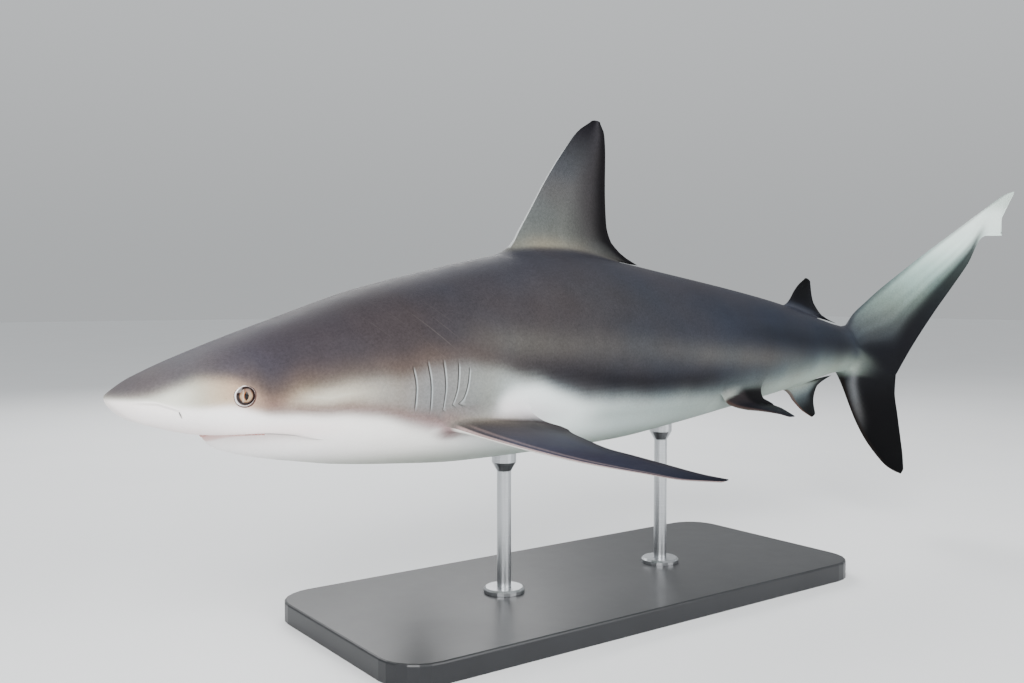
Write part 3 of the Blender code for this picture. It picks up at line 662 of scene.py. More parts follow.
def opening(body, target, tilt, half_sizes, grow, rims, block_mm):
    """An opening in the body's grid, as for an eye or a nostril: loops go from a block's edge
    to an ellipse on the skin and then inward. grow lists the loops' shares of the way to the
    ellipse, and rims the (size, depth in mm) of the loops past it. Returns the block, the
    numbers round it, and the loops' points and places."""
    sigma, turn, numbers, _, place = body
    distance = np.linalg.norm(place - target, axis=-1)
    ring, step = np.unravel_index(distance.argmin(), distance.shape)
    centre = np.array(refine(target, sigma[ring], turn[step]))
    e, f = 0.0005, 0.004
    ahead, aside = skin_steps(*centre, None, e, f)
    # Millimetres of skin for each unit of sigma and of turn.
    scale = 1000 * np.array([np.linalg.norm(ahead) / (2 * e), np.linalg.norm(aside) / (2 * f)])
    reach = max(2, int(round(block_mm[1] / scale[1] * HALF)))
    ends = (nearest(sigma, centre[0] + way * block_mm[0] / scale[0]) for way in (-1, 1))
    block = (*ends, step - reach, step + reach)
    loop, i, j = block_loop(numbers, *block)
    loop_turn = np.where(j > HALF, j - AROUND, j) / HALF
    turned = np.array([[math.cos(tilt), -math.sin(tilt)], [math.sin(tilt), math.cos(tilt)]])
    local = (np.stack([sigma[i], loop_turn], -1) - centre) * scale @ turned
    angle = np.arctan2(*(local / block_mm).T[::-1])
    ellipse = np.stack([np.cos(angle), np.sin(angle)], -1) * half_sizes
    flat = [local * (1 - share) + ellipse * share for share in grow]
    flat = np.array(flat + [ellipse * size for size, _ in rims]) @ turned.T
    depths = np.array([0.0] * len(grow) + [depth for _, depth in rims])[:, None, None]
    spots = np.moveaxis(centre + flat / scale, -1, 0)
    places = skin_place(*spots)
    return block, loop, bend(places) - skin_normal(*spots) * depths * 0.001, places


REFINE_ROUNDS, REFINE_SHRINK = 24, 0.7


def refine(target, s, t):
    """The ring and turn at which the skin passes closest to a target, by ever smaller steps."""
    step_s, step_t = 0.004, 0.02
    for _ in range(REFINE_ROUNDS):
        around = [(s + i * step_s, t + j * step_t) for i in (-1, 0, 1) for j in (-1, 0, 1)]
        found = skin_place(*np.array(around).T)
        s, t = around[int(np.linalg.norm(found - np.array(target), axis=-1).argmin())]
        step_s *= REFINE_SHRINK
        step_t *= REFINE_SHRINK
    return s, t


def tail_lobe(rows, own, tip_spans):
    """A lobe of the tail fin, grown from its own part of the last ring. Up to the fork it is
    half of a ring, and from there a blade whose rear edge is free. Returns its left and right
    sides, its chord steps and its spans from the fork to the tip."""
    x = chord_steps(len(own) - 1)
    control = fin_surface(np.insert(rows, 1, 0.0, -1), x)
    control[0, :, 0], control[0, :, 2] = TAIL_END, own[:, 2]
    knots = row_knots(control)
    fork = knots[TAIL_FORK_ROW]
    knots[: TAIL_FORK_ROW + 1] = np.linspace(0.0, fork, TAIL_FORK_ROW + 1)
    t = np.linspace(fork, knots[-1], tip_spans + 1)[1:]
    t = np.concatenate([np.linspace(0.0, fork, FORK_SPANS + 1), t])
    middle = loft(knots, control, t)
    free = loft(knots[TAIL_FORK_ROW:], control[TAIL_FORK_ROW:], t)
    middle = middle + (free - middle) * np.where(t[:, None] > fork, x ** 3, 0.0)[..., None]
    grown = np.clip(t / fork, 0.0, 1.0)[:, None]
    fin = half_thickness(middle, TAIL_THICKNESS, x * (0.5 + 0.5 * grown ** 4))
    fade = smooth(grown)
    half = np.maximum(np.abs(own[:, 1]) * (1 - fade) + fin * fade, FIN_EDGE)
    half[:, 0] = 0.0
    out = half[..., None] * (0.0, 1.0, 0.0)
    return middle + out, middle - out, x, np.clip((t - fork) / (knots[-1] - fork), 0, 1)


def tail_mesh(skin, body):
    """The tail fin: the last ring opens into two lobes that share a line from the root to the
    fork, and then go on as two blades."""
    _, _, numbers, _, place = body
    ring = place[-1, : HALF + 1]
    split = nearest(ring[:, 2], TAIL_UPPER[0][1][1])
    lobes = (
        tail_lobe(TAIL_UPPER, ring[: split + 1], UPPER_SPANS),
        tail_lobe(TAIL_LOWER, ring[split:][::-1], LOWER_SPANS),
    )
    (up_left, up_right, up_x, _), (low_left, low_right, low_x, _) = lobes
    # Up to the fork: whole rings, in the body's own order.
    rows = np.arange(1, FORK_SPANS + 1)
    ring = np.concatenate([
        up_left[rows], low_left[rows][:, -2::-1], low_right[rows][:, 1:], up_right[rows][:, -2:0:-1],
    ], 1)
    chord = np.concatenate([up_x, low_x[-2::-1], low_x[1:], up_x[-2:0:-1]])
    upper = np.concatenate([np.ones(split + 1), np.zeros(2 * (HALF - split) - 1), np.ones(split)])
    stalk = 1 - smooth(rows / FORK_SPANS)[:, None]
    whole = skin.add(bend(ring), ring, tail=1.0, chord=chord, lobe=upper, stalk=stalk)
    skin.sleeve([numbers[-1], *whole])
    for side in (split, AROUND - split):
        skin.roots.append(bend(ring[: FORK_SPANS - 3, side]))
    # The two lobes go on from the fork ring, the upper one first.
    fork = whole[-1]
    starts = np.concatenate([fork[: split + 1], fork[AROUND - split:]]), fork[split: AROUND - split + 1]
    for start, (left, right, x, span), upper in zip(starts, lobes, (True, False)):
        left, right, count = left[FORK_SPANS + 1:], right[FORK_SPANS + 1:], len(x)
        there = slice(None, None, 1 if upper else -1)
        back = slice(None, 0, -1) if upper else slice(1, None)
        loops = round_tip(np.concatenate([left[:, there], right[:, back]], 1))
        chord = np.concatenate([x[there], x[back]])
        span = np.concatenate([span[FORK_SPANS + 1:], np.ones(len(loops) - len(left))])[:, None]
        new = skin.add(bend(loops), loops, tail=1.0, chord=chord, lobe=float(upper), span=span)
        skin.sleeve([start, *new])
        tip = new[-1]
        one = tip[:count] if upper else tip[count - 1:]
        other = np.concatenate([tip[:1], tip[:count - 1:-1]]) if upper else tip[count - 1::-1]
        skin.quads.append(np.stack([other[:-1], other[1:], one[1:], one[:-1]], -1))


def make_skin():
    skin = Skin()
    body = body_grid(skin)
    sigma, _, numbers, _, _ = body
    hidden = np.zeros((len(sigma) - 1, AROUND), bool)

    def block_of(ends, centre, steps):
        """A block to grow a fin from, and its places along the fin's chord."""
        i0, i1 = (nearest(sigma, s) for s in ends)
        return (i0, i1, centre - steps, centre + steps), chord_steps(i1 - i0 + 2 * steps)

    def hide(i0, i1, j0, j1):
        hidden[i0:i1, np.arange(j0, j1) % AROUND] = True

    for name, rows, block_ends, (front, rear), steps, thick, spans in UPRIGHT_FINS:
        block, x = block_of(block_ends, HALF if name == "anal" else 0, steps)
        s = front + (rear - front) * x
        middle = fin_surface(np.insert(rows, 1, 0.0, -1), x)
        if name == "anal":
            root = belly_at(s) - ROOT_STAND
            middle[..., 2] = np.minimum(middle[..., 2], belly_at(middle[..., 0]) - ROOT_CLEARANCE)
        else:
            root = back_at(s) + ROOT_STAND * (1 + 1.8 * smooth(x / 0.25) * smooth((0.85 - x) / 0.4))
            clear = ROOT_STAND * (0.5 + 3.7 * smooth((0.9 - np.linspace(0.0, 1.0, len(x))) / 0.4))
            middle[..., 2] = np.maximum(middle[..., 2], back_at(middle[..., 0]) + clear)
        control = np.concatenate([[np.stack([s, 0 * s, root], -1)], middle])
        hide(*block)
        grow_fin(skin, body, name, block, control, (0.0, 1.0, 0.0), thick, spans)

    for name, rows, block_ends, root_ends, steps, thick, spans in PAIRED_FINS:
        (front, rear), tip = rows[0], rows[-1, 0]
        normal = np.cross(rear - front, tip - front)
        normal = unit(normal) * np.sign(normal[2])
        middle_s, middle_z = root_ends.mean(0)
        target = (middle_s, float(half_width_at(middle_s, middle_z)), middle_z)
        _, turn = refine(target, middle_s, 0.6)
        for side in (1, -1):
            mirror = (1.0, side, 1.0)
            block, x = block_of(block_ends, int(round(turn * HALF)) * side, steps)
            s, z = (root_ends[:1] + (root_ends[1:] - root_ends[:1]) * x[:, None]).T
            root = np.stack([s, side * (half_width_at(s, z) + ROOT_STAND), z], -1)
            middle = fin_surface(rows * mirror, x)
            clear = half_width_at(middle[..., 0], middle[..., 2]) + ROOT_CLEARANCE
            middle[..., 1] = side * np.maximum(side * middle[..., 1], clear)
            control = np.concatenate([[root], middle])
            hide(*block)
            grow_fin(skin, body, name, block, control, normal * mirror, thick, spans)

    for side in (1, -1):
        for middle, tilt, *sizes, fact, marks in OPENINGS:
            target = np.array(middle) * (1, side, 1)
            block, loop, solid, places = opening(body, target, side * tilt, *sizes)
            hide(*block)
            new = skin.add(solid, places, **{fact: np.array(marks)[:, None]})
            skin.pocket([loop, *new])

    skin.quads.append(ring_net(numbers)[~hidden][:, ::-1])
    nose = np.array([[NOSE_TIP, 0.0, NOSE_AXIS]])
    tip = np.full(AROUND, skin.add(bend(nose), nose)[0])
    skin.quads.append(np.stack([tip, tip, numbers[0], np.roll(numbers[0], -1)], -1))
    tail_mesh(skin, body)
    return skin


def relax(points, quads, weight, rounds):
    """Draws each point towards the mean of its neighbours, by its weight, several times."""
    edges = np.concatenate([np.stack([quads[:, k], quads[:, (k + 1) % 4]], 1) for k in range(4)])
    moving = (weight[edges[:, 0]] > 0) & (edges[:, 0] != edges[:, 1])
    start, end = edges[moving].T
    count = np.bincount(start, minlength=len(points))
    count = np.maximum(count, 1)[:, None]
    for _ in range(rounds):
        total = np.stack([np.bincount(start, points[end, k], len(points)) for k in range(3)], -1)
        mean = np.where(weight[:, None] > 0, total / count, points)
        points = points + (mean - points) * weight[:, None]
    return points


def mesh_piece(name, points, quads, attributes):
    """A mesh object at the origin from point and quad arrays. A quad that repeats a point
    becomes a triangle. attributes holds a number or three for each point."""
    used, packed = np.unique(quads, return_inverse=True)
    points, quads = points[used], packed.reshape(-1, 4)
    short = quads[:, 0] == quads[:, 1]
    faces = quads[~short][:, ::-1].tolist() + quads[short][:, :0:-1].tolist()
    mesh = bpy.data.meshes.new(name)
    mesh.from_pydata(points.tolist(), [], faces)
    for label, values in attributes.items():
        kind, field = ("FLOAT_VECTOR", "vector") if values.ndim == 2 else ("FLOAT", "value")
        layer = mesh.attributes.new(label, kind, "POINT")
        layer.data.foreach_set(field, values[used].astype(np.float32).ravel())
    mesh.update()
    mesh.shade_smooth()
    piece = bpy.data.objects.new(name, mesh)
    bpy.context.scene.collection.objects.link(piece)
    return piece


# ---------------------------------------------------------------- the skin's colours
def linear(hex_colour):
    """An sRGB hex colour as linear red, green and blue."""
    srgb = np.array([int(hex_colour[k:k + 2], 16) for k in (0, 2, 4)]) / 255
    return tuple(np.where(srgb <= 0.04045, srgb / 12.92, ((srgb + 0.055) / 1.055) ** 2.4).tolist())


def shade(stops, x):
    """Linear colour along x through stops of place: hex."""
    return eased_rows(np.array(list(stops)), np.array([linear(stop) for stop in stops.values()]), x)


def paint(colour, *layers):
    """Lays (colour, share) layers over a colour array. A layer's colour is a hex or an array."""
    for other, share in layers:
        other = np.array(linear(other)) if isinstance(other, str) else other
        colour = colour + (other - colour) * np.clip(share, 0.0, 1.0)[..., None]
    return colour


def bump_at(x, centre, half_width):
    """A bell curve, 1 at the centre and 0.37 at the half width."""
    return np.exp(-((x - centre) / half_width) ** 2)


# The two lines along the flank, by place and height: the lower edge of the dark coat and the
# upper edge of the white underside. The cheek's colour lies between them.
COAT_EDGE = lengths(
    0, -6.5,  12, -7,  20, -6,  35, -0.5,  50, 4.5,  65, 3.5,  78, -2,  90, -10.5,  110, -4,
    130, -2.5,  150, -0.5,  175, 1,  205, 7,  240, 6,  280, -4,  320, -16.5,  360, -20.5,  400, -22.5,
    450, -24,  500, -19,  550, -12,  600, -5,  650, -4,  700, -5,  724, -7,
)
WHITE_EDGE = lengths(
    0, -7.5,  20, -8,  35, -11.5,  50, -12.5,  65, -12,  78, -15.5,  90, -19,  110, -20,  130, -21.5,
    150, -23.5,  175, -27.5,  205, -34.5,  224, -37.5,  238, -34.5,  262, -12,  270, -9.2,  280, -9.5,
    320, -20,  360, -27.5,  400, -28.5,  450, -30,  500, -29,  550, -25,  600, -19,  650, -14,
    700, -13,  724, -14,
)
COAT_SOFTNESS = lengths(
    0, 3,  50, 4,  100, 6,  200, 5.5,  280, 5.5,  360, 6.5,  450, 8,  500, 12,  560, 13,  650, 9,
    724, 7.5,
)
WHITE_SOFTNESS = lengths(
    0, 1.4,  50, 2.6,  100, 3.4,  160, 4.5,  210, 5.5,  250, 7.5,  280, 5,  360, 7,  450, 9,  550, 11,
    724, 9,
)
COAT = {
    0.0: "524f53", 0.05: "4b494e", 0.07: "403e45", 0.1: "343239", 0.2: "322f32", 0.33: "302f32",
    0.4: "2a2b30", 0.45: "282a31", 0.55: "22252d", 0.68: "20232b", 0.724: "2c323b",
}
# The cheek's paler front, peaking at 0.03 and fading by 0.05, is a painted highlight on the snout's side.
CHEEK = {
    0.0: "c4c4b8", 0.03: "cfcfc2", 0.05: "ada492", 0.065: "ad9780", 0.09: "95806f", 0.11: "928775",
    0.13: "9c9688", 0.155: "908d84", 0.18: "75736f", 0.205: "6c6e6f", 0.24: "757a78", 0.27: "8c9696",
    0.33: "697071", 0.45: "4b5253", 0.55: "444b4e", 0.62: "4b5557", 0.724: "48524f",
}
# The white greys from about 0.3 back: painted shade on the rear flank's white.
WHITE = {
    0.0: "f7efec", 0.08: "f8f5f4", 0.2: "efeee9", 0.28: "e6edec", 0.33: "d3dddb", 0.38: "b0bcba",
    0.45: "a3afaa", 0.6: "8f9c94", 0.724: "87948b",
}
# The lighter wedge, the dark line of the tail stalk and the dark band along the rear flank:
# place, height and strength.
WEDGE = (
    (0.22, 0.026, 0.0), (0.27, 0.0215, 0.9), (0.32, 0.0185, 0.55), (0.37, 0.016, 0.35), (0.42, 0.011, 0.45),
    (0.46, 0.007, 0.7), (0.5, 0.004, 0.8), (0.56, -0.001, 0.7), (0.62, -0.006, 0.0),
)
LATERAL = (
    (0.5, 0.025, 0.0), (0.55, 0.0215, 0.75), (0.6, 0.015, 1.0), (0.65, 0.011, 0.8), (0.7, 0.006, 1.0),
    (0.724, 0.005, 0.8),
)
BAND = (
    (0.24, 0.007, 0.0), (0.28, 0.002, 0.3), (0.32, -0.003, 0.65), (0.36, -0.0095, 1.0), (0.4, -0.0125, 1.0),
    (0.45, -0.014, 1.0), (0.49, -0.014, 0.5), (0.53, -0.014, 0.0),
)
# The pale stripe of the tail's lower lobe: height and place.
TAIL_STRIPE = lengths(-95, 758.5, -78, 755, -64.6, 750.5, -46, 743, -34.4, 737.5, -22, 734.5)


def line_share(line, s, z, half_width):
    """How much a line along the flank, of (place, height, strength) points, colours a point."""
    place, height, strength = np.array(line).T
    return np.interp(s, place, strength) * bump_at(z, np.interp(s, place, height), half_width)


def body_colours(s, z):
    """The coat, the cheek and the white, laid over each other down the flank, with the warm
    tints of the head, the bands of the rear flank and painted shade on the lower flank and belly."""
    wave = 0.0009 * np.sin(2 * math.pi * (s / 0.071 + 0.1))
    wave = (wave + 0.0004 * np.sin(2 * math.pi * (s / 0.0297 + 0.6))) * rise(s, 0.06, 0.1)
    bare_edge = eased(COAT_EDGE, s)
    coat_edge = bare_edge + wave
    white_edge = eased(WHITE_EDGE, s) + 0.7 * wave
    in_white = 1 / (1 + np.exp((z - white_edge) / eased(WHITE_SOFTNESS, s) * 2.6))
    back = back_at(s)
    brown = bump_at(z, coat_edge + 0.0045, 0.0105) * rise(s, 0.065, 0.02) * fall(s, 0.19, 0.09)
    warm = bump_at(z, white_edge + 0.0042, 0.0062) * rise(s, 0.074, 0.02) * fall(s, 0.22, 0.02)
    shaded = bump_at(z, -0.034, 0.009) * rise(s, 0.32, 0.04) * fall(s, 0.44, 0.08)
    patch = np.exp(-((s - 0.2155) / 0.0075) ** 2 - ((z + 0.0375) / 0.0055) ** 2)
    return paint(
        shade(COAT, s),
        ("2e2e35", 0.5 * smooth((z - 0.6 * back) / (0.35 * np.maximum(back, 0.01))) * rise(s, 0.1, 0.1)),
        ("474644", line_share(WEDGE, s, z, 0.0105)),
        ("4f4540", 0.65 * brown),
        (shade(CHEEK, s), 1 / (1 + np.exp((z - coat_edge) / eased(COAT_SOFTNESS, s) * 2.4))),
        ("65504c", 0.85 * warm),
        ("c9c5b5", 0.6 * bump_at(z, bare_edge - 0.0065, 0.0042) * bump_at(s, 0.127, 0.022)),
        ("17161a", 0.9 * line_share(BAND, s, z, 0.0085)),
        ("12151b", 0.6 * line_share(LATERAL, s, z, 0.0085)),
        (shade(WHITE, s), in_white),
        # Painted shade: a grey band on the white just below the coat at mid-body, and a green-grey shade
        # under the belly, darkest at the bottom.
        ("76827f", 0.55 * shaded * in_white),
        ("7f8a79", 0.6 * smooth((-0.044 - z) / 0.018) * rise(s, 0.07, 0.05)),
        ("80676a", 0.55 * bump_at(z, white_edge + 0.001, 0.005) * bump_at(s, 0.207, 0.022)),
        ("7a5f5e", 0.7 * patch),
        ("c9b4bd", 0.45 * bump_at(z, -0.0305, 0.0105) * bump_at(s, 0.262, 0.035) * in_white),
        ("efd9d4", 0.5 * bump_at(z, -0.03, 0.006) * fall(s, 0.1, 0.06) * in_white),
    )


def fin_coats(skin, place, body):
    """Each fin's own colours over the body's, by its chord (0 at the leading edge) and its
    span (0 at the root, 1 at the tip). They count only where the skin is that fin."""
    s, _, z = place.T
    x, span, top = skin.fact("chord"), skin.fact("span"), skin.fact("top") > 0
    grown = rise(span, -0.1, 0.16)
    coats = {}

    # First dorsal: grey, paler and greener at the front of its foot, black down the rear edge.
    own = paint(
        shade({
            0.0: "575651", 0.25: "4d514f", 0.55: "3f4143", 0.8: "27282b", 0.93: "131216", 1.0: "0b0a0e",
        }, span),
        ("272629", 0.85 * rise(x, 0.36, 0.4) * (1 - 0.5 * bump_at(span, 0.05, 0.2))),
        ("0a090c", rise(x, 0.7, 0.25) * rise(span, -0.02, 0.12)),
        ("7f7c6b", 0.4 * bump_at(span, 0.08, 0.11) * bump_at(x, 0.25, 0.25)),
        ("403f3e", 0.75 * bump_at(span, -0.06, 0.08)),
        ("b9bcbc", 0.7 * (x < 0.009) * rise(span, 0.02, 0.05) * fall(span, 0.75, 0.2)),
    )
    coats["dorsal"] = paint(body, (own, grown))

    # Second dorsal: black but for its foot.
    own = paint(
        shade({0.0: "33343a", 0.3: "1f2127", 0.5: "0c0c10", 1.0: "030304"}, span),
        ("09090d", rise(x, 0.5, 0.3) * smooth(span / 0.3)),
    )
    coats["second_dorsal"] = paint(body, (own, grown))

    # Anal: pale foot and a thin rust-brown leading edge, black rear margin and tip.
    own = paint(
        shade({0.0: "848d85", 0.35: "6a7472", 0.6: "3a4245", 0.8: "0e1012", 1.0: "030304"}, span),
        ("0c0f11", rise(x, 0.46, 0.34)),
        ("4d3a33", 0.7 * (x < 0.05) * smooth(span / 0.1)),
    )
    coats["anal"] = paint(body, (own, grown))

    # Pectoral: a fleshy beige foot, slate above with a pale double leading line, and a white
    # underside with a dusky tip and rear edge.
    own = paint(
        shade({
            0.0: "5f5d58", 0.05: "484645", 0.12: "3a3838", 0.3: "33333c", 0.55: "2a2a35",
            0.8: "1d1f29", 1.0: "0f1017",
        }, span),
        ("7a766d", 0.35 * bump_at(span, 0.02, 0.07) * bump_at(x, 0.25, 0.3)),
        ("2a2729", 0.75 * rise(x, 0.72, 0.25) * (1 - 0.3 * smooth(span / 0.5))),
        # A dark band along the rear half of the root: painted shade in the wrinkles there.
        ("2c2626", 0.6 * bump_at(span, 0.015 + 0.05 * x, 0.022) * rise(x, 0.35, 0.2)),
        ("94827f", 0.8 * fall(x, 0.008, 0.018) * rise(span, 0.02, 0.1)),
        ("94827f", 0.28 * bump_at(x, 0.075, 0.022) * rise(span, 0.06, 0.15)),
    )
    under = shade({0.0: "dcd9d2", 0.5: "c9c8c4", 0.85: "8a8988", 1.0: "2c2c31"}, span)
    under = paint(under, ("5a5a5e", 0.8 * rise(x, 0.86, 0.14)))
    own = np.where(top[:, None], own, under)
    coats["pectoral"] = paint(body, (own, grown * np.where(top, 1.0, smooth(span / 0.1))))

    # Pelvic: brown-black above, black by the inner margin, pale below.
    own = paint(
        shade({0.0: "272324", 0.2: "1c191b", 0.6: "17171c", 1.0: "14151b"}, span),
        ("050507", 0.95 * rise(x, 0.4, 0.2) * fall(span, 0.35, 0.3)),
        ("3d2f2a", 0.5 * fall(x, 0.01, 0.05)),
    )
    under = shade({0.0: "8f9891", 0.7: "7d8381", 1.0: "33363b"}, span)
    under = paint(under, ("4a3c36", 0.85 * fall(x, 0.03, 0.12)))
    own = np.where(top[:, None], own, under)
    late = 0.085 * fall(x, 0.08, 0.45)
    skirt = 0.5 * bump_at(x, 0.1, 0.25) * rise(span, -0.1, 0.08)
    coats["pelvic"] = paint(body, ("77736c", skirt), (own, smooth((span + 0.1 - late) / 0.09)))

    # Tail: an upper lobe dark at its foot and silvery pale higher up, a painted sheen, with a dark trailing
    # margin and faint rays, and a black lower lobe with a pale stripe behind its leading edge.
    reach = np.clip((z + 0.02) / 0.175, 0.0, 1.0)
    own = shade({
        0.0: "1e2126", 0.12: "2e3237", 0.27: "434b4c", 0.42: "64746f", 0.6: "93aaa3", 0.75: "c0d2cc",
        0.92: "cdd9d4", 1.0: "aebbb4",
    }, reach)
    rays = np.sin(2 * math.pi * (5.5 * x + 0.35 * np.sin(7 * reach))) * bump_at(x, 0.55, 0.3)
    margin = smooth((x - 0.3 - 0.08 * reach) / 0.42) * fall(s, 0.9, 0.025)
    own = paint(
        own * (1 + 0.16 * rays * fall(reach, 0.6, 0.3))[:, None],
        ("0e0f13", margin * (1 - 0.1 * reach)),
        ("2a2d33", 0.85 * fall(x, 0.01, 0.06) * (1 - 0.6 * reach)),
    )
    low = np.clip((-0.0061 - z) / 0.126, 0.0, 1.0)
    stripe = bump_at(s, np.interp(z, *TAIL_STRIPE.T), 0.0058) * (1 - smooth((-0.035 - z) / 0.06))
    under = paint(
        shade({0.0: "16181d", 0.2: "0c0d10", 0.45: "040406", 1.0: "010102"}, low),
        ("56585a", 0.85 * stripe),
        ("130f0e", 0.9 * fall(x, 0.01, 0.06)),
    )
    own = np.where((skin.fact("lobe") > 0.5)[:, None], own, under)
    vee = bump_at(z, -0.0122 - 0.21 * (s - 0.7138), 0.0048) * fall(s, 0.724, 0.014)
    share = np.maximum(1 - skin.fact("stalk") ** 3, smooth((-0.0155 - z) / 0.014))
    coats["tail"] = paint(body, (paint(own, ("7f8a84", 0.75 * vee)), share))
    return coats


def shark_colours(skin, place):
    """The skin's colour, and how dark and mottled it is, at every point."""
    s, _, z = place.T
    body = body_colours(np.where(skin.fact("tail") > 0, TAIL_END, s), z)
    colour = body
    for name, coat in fin_coats(skin, place, body).items():
        colour = np.where((skin.fact(name) > 0)[:, None], coat, colour)
    lid = skin.fact("lid")
    colour = paint(
        colour,
        # A painted highlight behind each gill slit, and painted shade in the slits, along the mouth and in
        # the nostrils.
        ("b4bcbe", 0.5 * skin.fact("edge")),
        ("17110f", 0.93 * skin.fact("dark")),
        ("cf9f97", 0.8 * skin.fact("gum")),
        ("56433f", rise(lid, 0.27, 0.2) * (lid < 0.95)),
    )
    light = colour @ np.array([0.2126, 0.7152, 0.0722])
    return colour, fall(light, 0.06, 0.4)


# ---------------------------------------------------------------- materials
def feed(node, inputs):
    """Fills a node's sockets, by name or in their order, with values, hex colours or other
    nodes' output sockets."""
    for name, value in inputs.items() if isinstance(inputs, dict) else enumerate(inputs):
        if isinstance(value, bpy.types.NodeSocket):
            node.id_data.links.new(value, node.inputs[name])
        else:
            node.inputs[name].default_value = (*linear(value), 1.0) if isinstance(value, str) else value


def add_node(tree, kind, inputs=(), output=0, **settings):
    """Adds one node with its settings and links. Returns the output socket asked for."""
    made = tree.nodes.new("ShaderNode" + kind)
    for name, value in settings.items():
        setattr(made, name, value)
    feed(made, inputs)
    return made.outputs[output]


def material(name, pattern):
    """A material of that name. pattern adds its nodes and returns its shader's inputs."""
    made = bpy.data.materials.new(name)
    made.use_nodes = True
    feed(made.node_tree.nodes["Principled BSDF"], pattern(functools.partial(add_node, made.node_tree)))
    return made


SUM, PRODUCT, SCALED_SUM = ({"operation": name} for name in ("ADD", "MULTIPLY", "MULTIPLY_ADD"))
COLOUR = {"output": "Result", "data_type": "RGBA"}  # how Mix nodes mix colours


def shark_skin(add):
    """Cast resin museum skin with a satin finish: fine denticle grain, soft mottling in
    the dark coat, sensory pores on the head and a few old scratches behind it. Tones multiply
    the painted colour: 1 leaves it as it is."""
    where = add("TexCoord", output="Object")
    colour = add("Attribute", output="Color", attribute_name="coat")
    place = add("Attribute", output="Vector", attribute_name="place")
    dark, fold, fold_share, head = (
        add("Attribute", output="Fac", attribute_name=name)
        for name in ("darkness", "fold_mm", "fold_share", "head")
    )

    # Mottling in three sizes: clouds of 90 mm, blotches of 22 mm, and grain of 3.5 mm.
    clouds, blotch, grain = (
        add("TexNoise", {"Vector": where, "Scale": 1 / size, "Detail": detail, "Roughness": roughness})
        for size, detail, roughness in ((0.09, 3.0, 0.55), (0.022, 4.0, 0.6), (0.0035, 3.0, 0.7))
    )
    tone = add("Math", (clouds, 0.3, 0.85), **SCALED_SUM)
    spots = add("Math", (blotch, 0.26, 0.87), **SCALED_SUM)
    specks = add("Math", (grain, 0.8, 0.6), **SCALED_SUM)
    tone = add("Math", (tone, spots), **PRODUCT)
    tone = add("Math", (tone, specks, -1.0), **SCALED_SUM)
    amount = add("Math", (dark, 0.85, 0.15), **SCALED_SUM)
    tone = add("Math", (tone, amount, 1.0), **SCALED_SUM)
    colour = add("VectorMath", {0: colour, "Scale": tone}, operation="SCALE")

    # A warm and a cool tint that come and go over the dark coat, about 140 mm across.
    cast = {"Vector": where, "Scale": 1 / 0.14, "Detail": 2.0, "W": 3.0}
    cast = add("TexNoise", cast, noise_dimensions="4D")
    cast = add("MapRange", (cast, 0.35, 0.65))
    cool, warm = (0.95, 1.0, 1.05, 1.0), (1.06, 0.99, 0.94, 1.0)
    tint = add("Mix", {"Factor": cast, "A": cool, "B": warm}, **COLOUR)
    colour = add("Mix", {"Factor": dark, "A": colour, "B": tint}, **COLOUR, blend_type="MULTIPLY")

    # Denticles: cells of 1.6 mm, drawn coarser than the real 0.3 mm so that they show.
    cells = add("TexVoronoi", {"Vector": where, "Scale": 1 / 0.0016, "Randomness": 0.9}, "Distance")
    # Pores on the head, 1 mm across and about 11 mm apart.
    pores = add("TexVoronoi", {"Vector": where, "Scale": 1 / 0.011}, "Distance")
    dots = add("Math", (pores, 0.055), operation="LESS_THAN")
    dots = add("Math", (dots, head), **PRODUCT)
    colour = add("Mix", {"Factor": dots, "A": colour, "B": "2b2322"}, **COLOUR)

    # Scratches: thin pale lines that slope down to the rear, above the gills.
    slope = add("Mapping", {"Vector": place, "Rotation": (0.0, math.radians(-42), 0.0)})
    streaks = add("Mapping", {"Vector": slope, "Scale": (9.0, 1.0, 620.0)})
    streaks = add("TexNoise", {"Vector": streaks, "Scale": 1.0, "Detail": 1.0})
    streaks = add("MapRange", (streaks, 0.66, 0.82))
    away = add("VectorMath", (place, (0.195, 0.055, 0.034)), "Value", operation="DISTANCE")
    nearby = add("MapRange", (away, 0.045, 0.022, 0.0, 0.2))
    streaks = add("Math", (streaks, nearby), **PRODUCT)
    colour = add("Mix", {"Factor": streaks, "A": colour, "B": "9b948c"}, **COLOUR)

    # The fold on the snout's side: a white ridge, raised in the bump and painted as a highlight, with a
    # brown line of painted shadow 2 mm under it.
    ridge_and_highlight = add("MapRange", (fold, -1.2, 0.0, 0.0, 0.6))
    ridge_and_highlight = add("Math", (ridge_and_highlight, fold_share), **PRODUCT)
    top = add("MapRange", (fold, 0.0, 2.0, 1.0, 0.0))
    ridge_and_highlight = add("Math", (ridge_and_highlight, top), **PRODUCT)
    colour = add("Mix", {"Factor": ridge_and_highlight, "A": colour, "B": "f6f3ee"}, **COLOUR)
    under = add("Math", (fold, -2.1, 1.3), operation="COMPARE")
    crease_shadow = add("Math", (under, fold_share), **PRODUCT)
    crease_shadow = add("Math", (crease_shadow, 0.22), **PRODUCT)
    colour = add("Mix", {"Factor": crease_shadow, "A": colour, "B": "6a5550"}, **COLOUR)

    shine = add("Math", (blotch, 0.16, 0.4), **SCALED_SUM)
    shine = add("Math", (grain, 0.12, shine), **SCALED_SUM)
    relief = add("Math", (grain, 0.6), **PRODUCT)
    relief = add("Math", (cells, 0.5, relief), **SCALED_SUM)
    relief = add("Math", (dots, -5.0, relief), **SCALED_SUM)
    relief = add("Math", (ridge_and_highlight, 1.0, relief), **SCALED_SUM)
    bump = add("Bump", {"Height": relief, "Strength": 0.32, "Distance": 0.0007})
    return {
        "Base Color": colour, "Roughness": shine, "Normal": bump, "IOR": 1.45,
        "Specular IOR Level": 0.06,
    }


